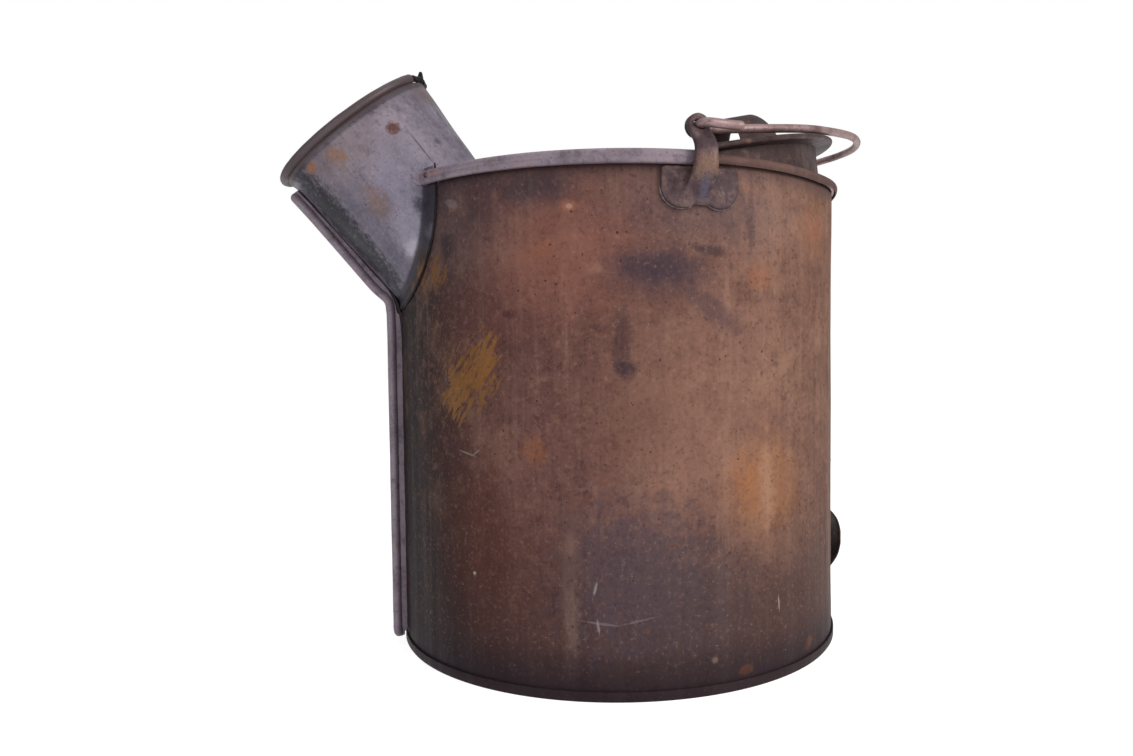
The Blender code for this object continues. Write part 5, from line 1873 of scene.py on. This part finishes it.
@dataclass
class Ears:
    """The two cast ears, the solder round their feet and the wire bail that hangs in them."""

    plate: float = 2.1
    lobe: float = 9.9
    drop: float = 27.8
    neck: float = 10.8
    head: float = 5.6
    eye_clear: float = 0.35
    bail_reach: float = 160.0
    bail_rest: float = 0.7
    grain: float = 0.45
    crease: float = 60.0
    run: float = 0.75

    def foot_outline(self) -> Outline:
        """Draws the foot's outline with its two lobes, in points of (x, height)."""
        centre, high = SIZES.rim_height - 13.2, SIZES.rim_height - 3.9
        lobes = arc((-9.6, centre), self.lobe, 180.0, 318.0, 24)
        lobes += arc((9.6, centre), self.lobe, 222.0, 360.0, 24)
        return lobes + [(19.3, high - 1.3), (18.2, high), (-18.2, high), (-19.3, high - 1.3)]

    def casting(self, shop: Workshop) -> Piece:
        """Makes the near ear, softened as a casting is.

        Args:
            shop: The workshop.

        Returns:
            The ear.
        """
        wall, rim, gap = SIZES.body_radius, SIZES.rim_height, SIZES.gap
        seat, face = wall + gap, wall + gap + self.plate
        low, high = rim - self.drop, rim - 3.9
        ear = shop.lathe.turn("cast_ear_near", [(seat, low), (face, low), (face, high), (seat, high)])
        combine(ear, prism("plate_shape", self.foot_outline(), -wall - 13.0, -wall + 27.0), "INTERSECT")
        knots = [(-0.2, rim - 21.0), (1.2, rim - 16.0), (3.4, rim - 11.5), (6.4, rim - 6.4)]
        knots += [(7.7, rim - 0.8), (7.2, rim + 4.7)]
        knots += [(4.4, SIZES.eye - 7.2), (0.8, SIZES.eye - 3.8), (-2.4, SIZES.eye - 0.6)]
        path = smooth_path([(0.0, -wall - out, level) for out, level in knots], 8)
        widths = [1.0 + 1.2 * math.exp(-max(i - 6, 0) / 9.0) for i in range(len(path))]
        half = self.neck / 2
        right = arc((half - 1.6, 0.0), 1.8, -60.0, 60.0, 6)
        section = [(half - 2.6, -2.0), *right, (half - 2.6, 2.0)]
        section += [(-u, v) for u, v in reversed(section)]
        neck = swept("neck", path, section, (1.0, 0.0, 0.0), widths)
        hem = SIZES.hem_radius + SIZES.cover_sheet + gap - 0.05
        top = SIZES.cover_middle + 0.75
        inside = [(seat, rim - 3.6), (hem, rim - 3.5), (hem, top)]
        core = wall - 27.0
        cut(neck, shop.lathe.turn("inside", [(core, low - 5.0), (seat, low - 5.0), *inside, (core, top)]))
        join(ear, neck)
        outside, thick = SIZES.head_outside, SIZES.head_thickness
        round_ = arc((0.0, SIZES.eye), self.head, 0.0, 352.0, 44)
        join(ear, prism("head", round_, -outside, thick - outside))
        eye = arc((0.0, SIZES.eye), SIZES.rod + self.eye_clear + 0.1, 0.0, 352.0, 44)
        cut(ear, prism("eye", eye, -outside - 14.0, 14.0 - outside))

        voxels = ear.modifiers.new("Voxels", "REMESH")
        voxels.mode = "VOXEL"
        voxels.voxel_size = self.grain * MM
        soften = ear.modifiers.new("Soften", "SMOOTH")
        soften.factor = 0.5
        soften.iterations = 9
        harden(ear)

        def seated(point: Vector) -> Vector:
            """Keeps the back of the foot off the wall, and roughens the front as sand does."""
            radius = math.hypot(point.x, point.y)
            if radius < seat and point.z < rim - 3.6:
                return Vector((point.x * seat / radius, point.y * seat / radius, point.z))
            return point + Vector((0.0, 0.09 * noise.noise(point / 2.2), 0.0))

        return bent(ear, seated)

    def build(self, shop: Workshop, cast: Material, solder: Material) -> None:
        """Makes both ears and the solder round their feet.

        Args:
            shop: The workshop.
            cast: The ears' material.
            solder: The solder's material.
        """
        near = self.casting(shop)
        mesh = near.data.copy()
        mesh.transform(Matrix.Scale(-1.0, 4, ACROSS))
        mesh.flip_normals()
        far = linked("cast_ear_far", mesh)
        radius = SIZES.body_radius + SIZES.gap + 0.1
        for side, ear, where in ((-1.0, near, "near"), (1.0, far, "far")):
            shop.settle(ear, cast, Seat(Body.PAIL, Slot.CAST, (f"ear_{where}",)), None, self.crease)
            lobes = self.foot_outline()[:50]
            path = [Vector((x, side * math.sqrt(radius**2 - x * x), z)) for x, z in lobes]
            girth = [0.75 + 0.35 * noise.noise(point / 4.0) for point in path]
            girth[0] = girth[-1] = 0.2
            run = shop.wires.draw(f"solder_{where}", path, self.run, girth, 8)
            shop.settle(run, solder, Seat(Body.PAIL, Slot.CAST))

    def build_bail(self, shop: Workshop, wire: Material) -> None:
        """Makes the bail, which lies back just above the lid's lip.

        Args:
            shop: The workshop.
            wire: Its material.
        """
        outside, inner = SIZES.head_outside + 4.8, SIZES.head_outside - SIZES.head_thickness
        half = [(20.5, outside, -3.6), (14.0, outside + 0.1, -2.6), (6.0, outside + 0.1, -1.0)]
        half += [(2.2, outside - 0.4, -0.2), (0.3, outside - 2.4, 0.0), (0.0, SIZES.head_outside, 0.0)]
        inside = [(0.0, 0.0), (0.4, -2.7), (3.2, -5.0), (8.0, -6.0)]
        inside += [(22.0, -10.2), (45.0, -17.0), (75.0, -27.6)]
        half += [(x, inner + y, 0.0) for x, y in inside]
        loop = [(60.0, -41.9), (35.0, -60.2), (18.0, -78.2), (6.0, -96.8), (0.0, -113.1)]
        half += [(self.bail_reach - x, inner + y, 0.0) for x, y in loop]
        knots = half + [(x, -y, z) for x, y, z in reversed(half)]
        path = [Vector((p.x, -p.y, SIZES.eye + p.z)) for p in smooth_path(knots, 10)]
        path, girth = shop.wires.rounded(path, SIZES.rod)
        girth = [g * (1.0 - 0.03 * abs(noise.noise(p / 9.0))) for g, p in zip(girth, path)]
        bail = shop.wires.draw("wire_bail", path, SIZES.rod, girth, 20)
        shop.settle(bail, wire, Seat(Body.BAIL, Slot.WIRE, ("bail",)), lifted(SIZES.eye, self.bail_tilt()))

    def bail_tilt(self) -> float:
        """Works out how far the bail stands up from level while it lies on the raised lid."""
        across = 79.4
        reach = math.sqrt((SIZES.body_radius + 2.5) ** 2 - across**2)
        up = SIZES.cover_middle + 1.95 + SIZES.cover_sheet / 2 - SIZES.hinge_height
        tilt = SIZES.lid_tilt
        x = reach * math.cos(tilt) - up * math.sin(tilt)
        z = SIZES.hinge_height + reach * math.sin(tilt) + up * math.cos(tilt) - SIZES.eye
        return math.atan2(z, x) + math.asin((SIZES.rod + self.bail_rest) / math.hypot(x, z))


@dataclass
class TippingHandle:
    """The strap low on the back, which a hand takes to tip the pail."""

    middle: float = 41.5
    stand: float = 22.2
    half: float = 31.0
    strap: float = 25.0
    sheet: float = 1.2

    def build(self, shop: Workshop, material: Material) -> None:
        """Makes the handle.

        Args:
            shop: The workshop.
            material: Its material.
        """
        wall, stand = SIZES.body_radius, self.stand
        foot = wall + SIZES.gap + self.sheet / 2
        side = [(foot, -self.half), (foot, 4.5 - self.half), (wall + 3.6, 6.9 - self.half)]
        side += [(wall + stand * 0.55, 10.7 - self.half), (wall + stand * 0.875, 18.1 - self.half)]
        side += [(wall + stand, 25.5 - self.half)]
        knots = [(x, 0.0, self.middle + z) for x, z in side]
        knots += [(wall + stand + SIZES.gap, 0.0, self.middle)]
        knots += [(x, 0.0, 2 * self.middle - z) for x, _, z in reversed(knots[:-1])]
        path = smooth_path(knots, 10)
        section = strap_section(self.strap, self.sheet)
        handle = swept("tipping_strap", path, section, ACROSS, [1.0] * len(path))
        inside, top, seat = wall - 27.0, self.middle + self.half + 18.0, wall + SIZES.gap
        cut(handle, shop.lathe.turn("wall", [(inside, 0.0), (seat, 0.0), (seat, top), (inside, top)]))
        shop.settle(handle, material, Seat(Body.PAIL, Slot.COVER, ("tipping_handle",)))


@dataclass
class SolderRuns:
    """The solder that was run in along the rib and round the spout's foot, near black as painted shade in
    those creases.
    """

    rib_run: float = 0.75
    foot_run: float = 0.6
    bend_swell: float = 1.5

    def build(self, shop: Workshop, material: Material, spout: Spout) -> None:
        """Makes the runs.

        Args:
            shop: The workshop.
            material: Their material.
            spout: The spout whose foot is soldered on.
        """
        end = spout.landing(math.pi)[0]
        foot = spout.skin(end, math.pi).z
        wall = -SIZES.body_radius
        stations = (8.6, end * 0.3, end * 0.52, end * 0.75, end * 0.9)
        knots = [spout.skin(station, math.pi, 0.6) for station in stations]
        bend = ((2.6, 1.0), (1.2, 6.0), (0.0, 12.0))
        knots += [Vector((wall - out, 0.0, foot - down)) for out, down in bend]
        knots += [Vector((wall, 0.0, foot * share)) for share in (0.72, 0.46, 0.205)]
        knots.append(Vector((wall, 0.0, SIZES.chime_height + 3.0)))
        line = smooth_path(knots, 14)
        half = FrontRib.web / 2
        runs = [("rib_solder_near", [point - ACROSS * half for point in line], self.rib_run)]
        runs.append(("rib_solder_far", [point + ACROSS * half for point in line], self.rib_run))
        turns = [math.radians(2.0 * i) for i in range(20, 161)]
        edge = [spout.column(turn)[-1] for turn in turns if not spout.landing(turn)[1]]
        runs.append(("spout_solder", [point + Vector((0.4, 0.0, 0.0)) for point in edge], self.foot_run))
        for name, line, radius in runs:
            path, girth = shop.wires.rounded(line, radius)
            wide = self.bend_swell if name.startswith("rib") else 0.0
            uneven = []
            for share, point in zip(girth, path):
                swell = wide * math.exp(-(((point.z - foot + 5.0) / 7.5) ** 2))
                uneven.append(share * (0.85 + 0.3 * noise.noise(point / 5.0) + swell))
            run = shop.wires.draw(name, path, radius, uneven, 8)
            shop.settle(run, material, Seat(Body.PAIL, Slot.SHEET))


@dataclass
class Studio:
    """The camera where the photographer stood, a pale floor and soft light."""

    place: tuple[float, float, float] = (-0.16033, -0.48848, 0.16274)
    azimuth: float = -18.171
    yaw: float = 0.716
    pitch: float = -2.422
    roll: float = -0.610
    focal_pixels: float = 840.16
    frame_pixels: float = 1133.0
    sensor: float = 36.0
    aim: float = 0.14
    floor_reach: float = 6.0
    off_centre: tuple[float, float] = (-39.53, 12.26)
    glow: float = 0.8
    sky: float = 0.46
    key: float = 28.0
    fill: float = 6.0
    top: float = 6.0

    def camera(self, axis: float) -> None:
        """Sets up the camera.

        Args:
            axis: Where the pail's axis stands along X, in metres.
        """
        angles = (self.azimuth, self.yaw, self.pitch, self.roll)
        azimuth, yaw, pitch, roll = (math.radians(angle) for angle in angles)
        up = Vector((0.0, 0.0, 1.0))
        ahead = Matrix.Rotation(yaw, 3, "Z") @ Vector((-math.sin(azimuth), math.cos(azimuth), 0.0))
        right = ahead.cross(up).normalized()
        ahead = ahead * math.cos(pitch) + up * math.sin(pitch)
        upright = right.cross(ahead)
        columns = (
            right * math.cos(roll) + upright * math.sin(roll),
            upright * math.cos(roll) - right * math.sin(roll),
            -ahead,
        )
        data = bpy.data.cameras.new("camera")
        data.sensor_width = self.sensor
        data.lens = self.focal_pixels * self.sensor / self.frame_pixels
        data.shift_x, data.shift_y = (value / self.frame_pixels for value in self.off_centre)
        data.clip_start = 0.01
        camera = bpy.data.objects.new("camera", data)
        turn = Matrix(columns).transposed().to_4x4()
        camera.matrix_world = Matrix.Translation(Vector(self.place) + Vector((axis, 0.0, 0.0))) @ turn
        bpy.context.scene.collection.objects.link(camera)
        bpy.context.scene.camera = camera

    def lamp(self, name: str, place: Sequence[float], size: float, power: float, colour: str) -> None:
        """Hangs one square soft lamp that looks at the pail.

        Args:
            name: The lamp's name.
            place: Where it hangs, in metres.
            size: Its side in metres.
            power: Its power in watts.
            colour: Its colour.
        """
        data = bpy.data.lights.new(name, "AREA")
        data.size = size
        data.energy = power
        data.color = linear(colour)[:3]
        lamp = bpy.data.objects.new(name, data)
        lamp.location = place
        aim = Vector((0.0, 0.0, self.aim)) - Vector(place)
        lamp.rotation_euler = aim.to_track_quat("-Z", "Y").to_euler()
        bpy.context.scene.collection.objects.link(lamp)

    def floor(self) -> None:
        """Lays the pale floor: white to the camera, but for the shadow that lies on it."""
        mesh = bpy.data.meshes.new("floor")
        far = self.floor_reach
        corners = [(-far, -far, 0.0), (far, -far, 0.0), (far, far, 0.0), (-far, far, 0.0)]
        mesh.from_pydata(corners, [], [(0, 1, 2, 3)])
        floor = linked("floor", mesh)
        material = bpy.data.materials.new("pale_floor")
        material.use_nodes = True
        bench = NodeBench(material.node_tree, "ShaderNode")
        material.node_tree.nodes.clear()
        seen = bench.add("LightPath", out="Is Camera Ray")
        mirrored = bench.tree.nodes[-1].outputs["Is Glossy Ray"]
        seen = bench.add("Math", {"Value": seen, "Value_001": mirrored}, operation="MAXIMUM")
        matt = bench.add("BsdfDiffuse", {"Color": linear("#c9c7c5")})
        seen = bench.add("Math", {"Value": seen, "Value_001": self.glow}, operation="MULTIPLY")
        glow = bench.add("Emission", {"Strength": seen})
        both = bench.add("AddShader", {"Shader": matt, "Shader_001": glow})
        bench.add("OutputMaterial", {"Surface": both})
        mesh.materials.append(material)

    def world(self) -> None:
        """Fills the sky with even light, and shows it white where it is seen directly or through glass."""
        world = bpy.data.worlds.new("studio")
        world.use_nodes = True
        bpy.context.scene.world = world
        bench = NodeBench(world.node_tree, "ShaderNode")
        world.node_tree.nodes.clear()
        seen = bench.add("LightPath", out="Is Camera Ray")
        clear = bench.tree.nodes[-1].outputs["Is Transmission Ray"]
        seen = bench.add("Math", {"Value": seen, "Value_001": clear}, operation="MAXIMUM")
        strength = bench.add("MapRange", {"Value": seen, "To Min": self.sky, "To Max": 1.0})
        light = bench.add("Background", {"Color": linear("#ffffff"), "Strength": strength})
        bench.add("OutputWorld", {"Surface": light})

    def build(self, axis: float) -> None:
        """Sets up the camera, the floor and all the light.

        Args:
            axis: Where the pail's axis stands along X, in metres.
        """
        scene = bpy.context.scene
        scene.view_settings.view_transform = "Standard"
        self.camera(axis)
        self.floor()
        self.world()
        self.lamp("key", (1.3, -1.5, 1.0), 1.3, self.key, "#fff6ee")
        self.lamp("fill", (-1.3, -1.5, 0.8), 1.0, self.fill, "#f2f4ff")
        self.lamp("top", (-0.1, 0.1, 2.0), 1.4, self.top, "#ffffff")


def main() -> None:
    """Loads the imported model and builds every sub-assembly round it."""
    logging.basicConfig(level=logging.INFO, format="%(name)s: %(message)s")
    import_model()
    low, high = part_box("base_plate")
    axis = (low.x + high.x) / 2
    shop = Workshop(axis)

    tab_stains = (
        ColourPatch(-341.6, 253.4, 1.7, 1.4, "#120e0f", 0.95, 0.0, 0.3, 0.3),
        ColourPatch(-334.0, 253.6, 6.0, 1.6, "#a98482", 0.6, 0.0, 0.5, 1.3),
        ColourPatch(-300.0, 256.3, 60.0, 0.8, "#9b8a8f", 0.5, 0.0, 0.6, 1.2),
    )
    wall_rust = RustedSheet().build("rusted_tinned_steel", axis)
    zinc = WeatheredZinc().build("weathered_zinc", axis)
    cover_rust = BrownedSheet(stains=tab_stains).build("browned_cover_steel", axis)
    # A darker copy of the cover's finish for the lid, its strap and the tipping strap: painted shade
    shaded_lid_rust = BrownedSheet("#413030", "#241a1c", "#6f5d5b").build("shaded_browned_lid_steel", axis)
    iron = CastIron().build("cast_malleable_iron", axis)
    wire = RustedWire().build("rubbed_rusted_wire", axis)
    # A near-black copy of the wire finish for the mouth's wire and the torn fold: painted shade on their
    # unlit sides
    black = RustedWire("#1d1819", "#0f0c0d", "#2c2526").build("shade_darkened_wire", axis)
    solder = DulledSolder().build("dulled_solder", axis)
    # Near-black solder along the rib and round the spout's foot: painted shade in those creases
    shade_black_solder = DulledSolder("#241d21", "#120f14").build("shade_blackened_solder", axis)
    lime = DulledSolder("#84726a", "#66564f").build("lime_crust", axis)
    blister = DulledSolder("#5b3b30", "#3c2826").build("rust_blister", axis)

    spout, covers, body, ears = Spout(), Covers(), BodyWall(), Ears()
    body.build(shop, wall_rust, spout)
    body.crusts(shop, lime, blister)
    spout.build(shop, zinc, black, covers)
    FrontRib().build(shop, cover_rust, spout)
    SolderRuns().build(shop, shade_black_solder, spout)
    covers.build_cover(shop, cover_rust, spout)
    covers.build_lid(shop, shaded_lid_rust)
    covers.build_handle(shop, shaded_lid_rust)
    ears.build(shop, iron, solder)
    ears.build_bail(shop, wire)
    TippingHandle().build(shop, shaded_lid_rust)
    for name in ("rim_wire", "hinge_pin"):
        node = bpy.data.objects[name]
        node.data.materials.clear()
        node.data.materials.append(wire)
        LOG.info("%s: the packed node in a better finish", name)
    Studio().build(axis)


if __name__ == "__main__":
    main()
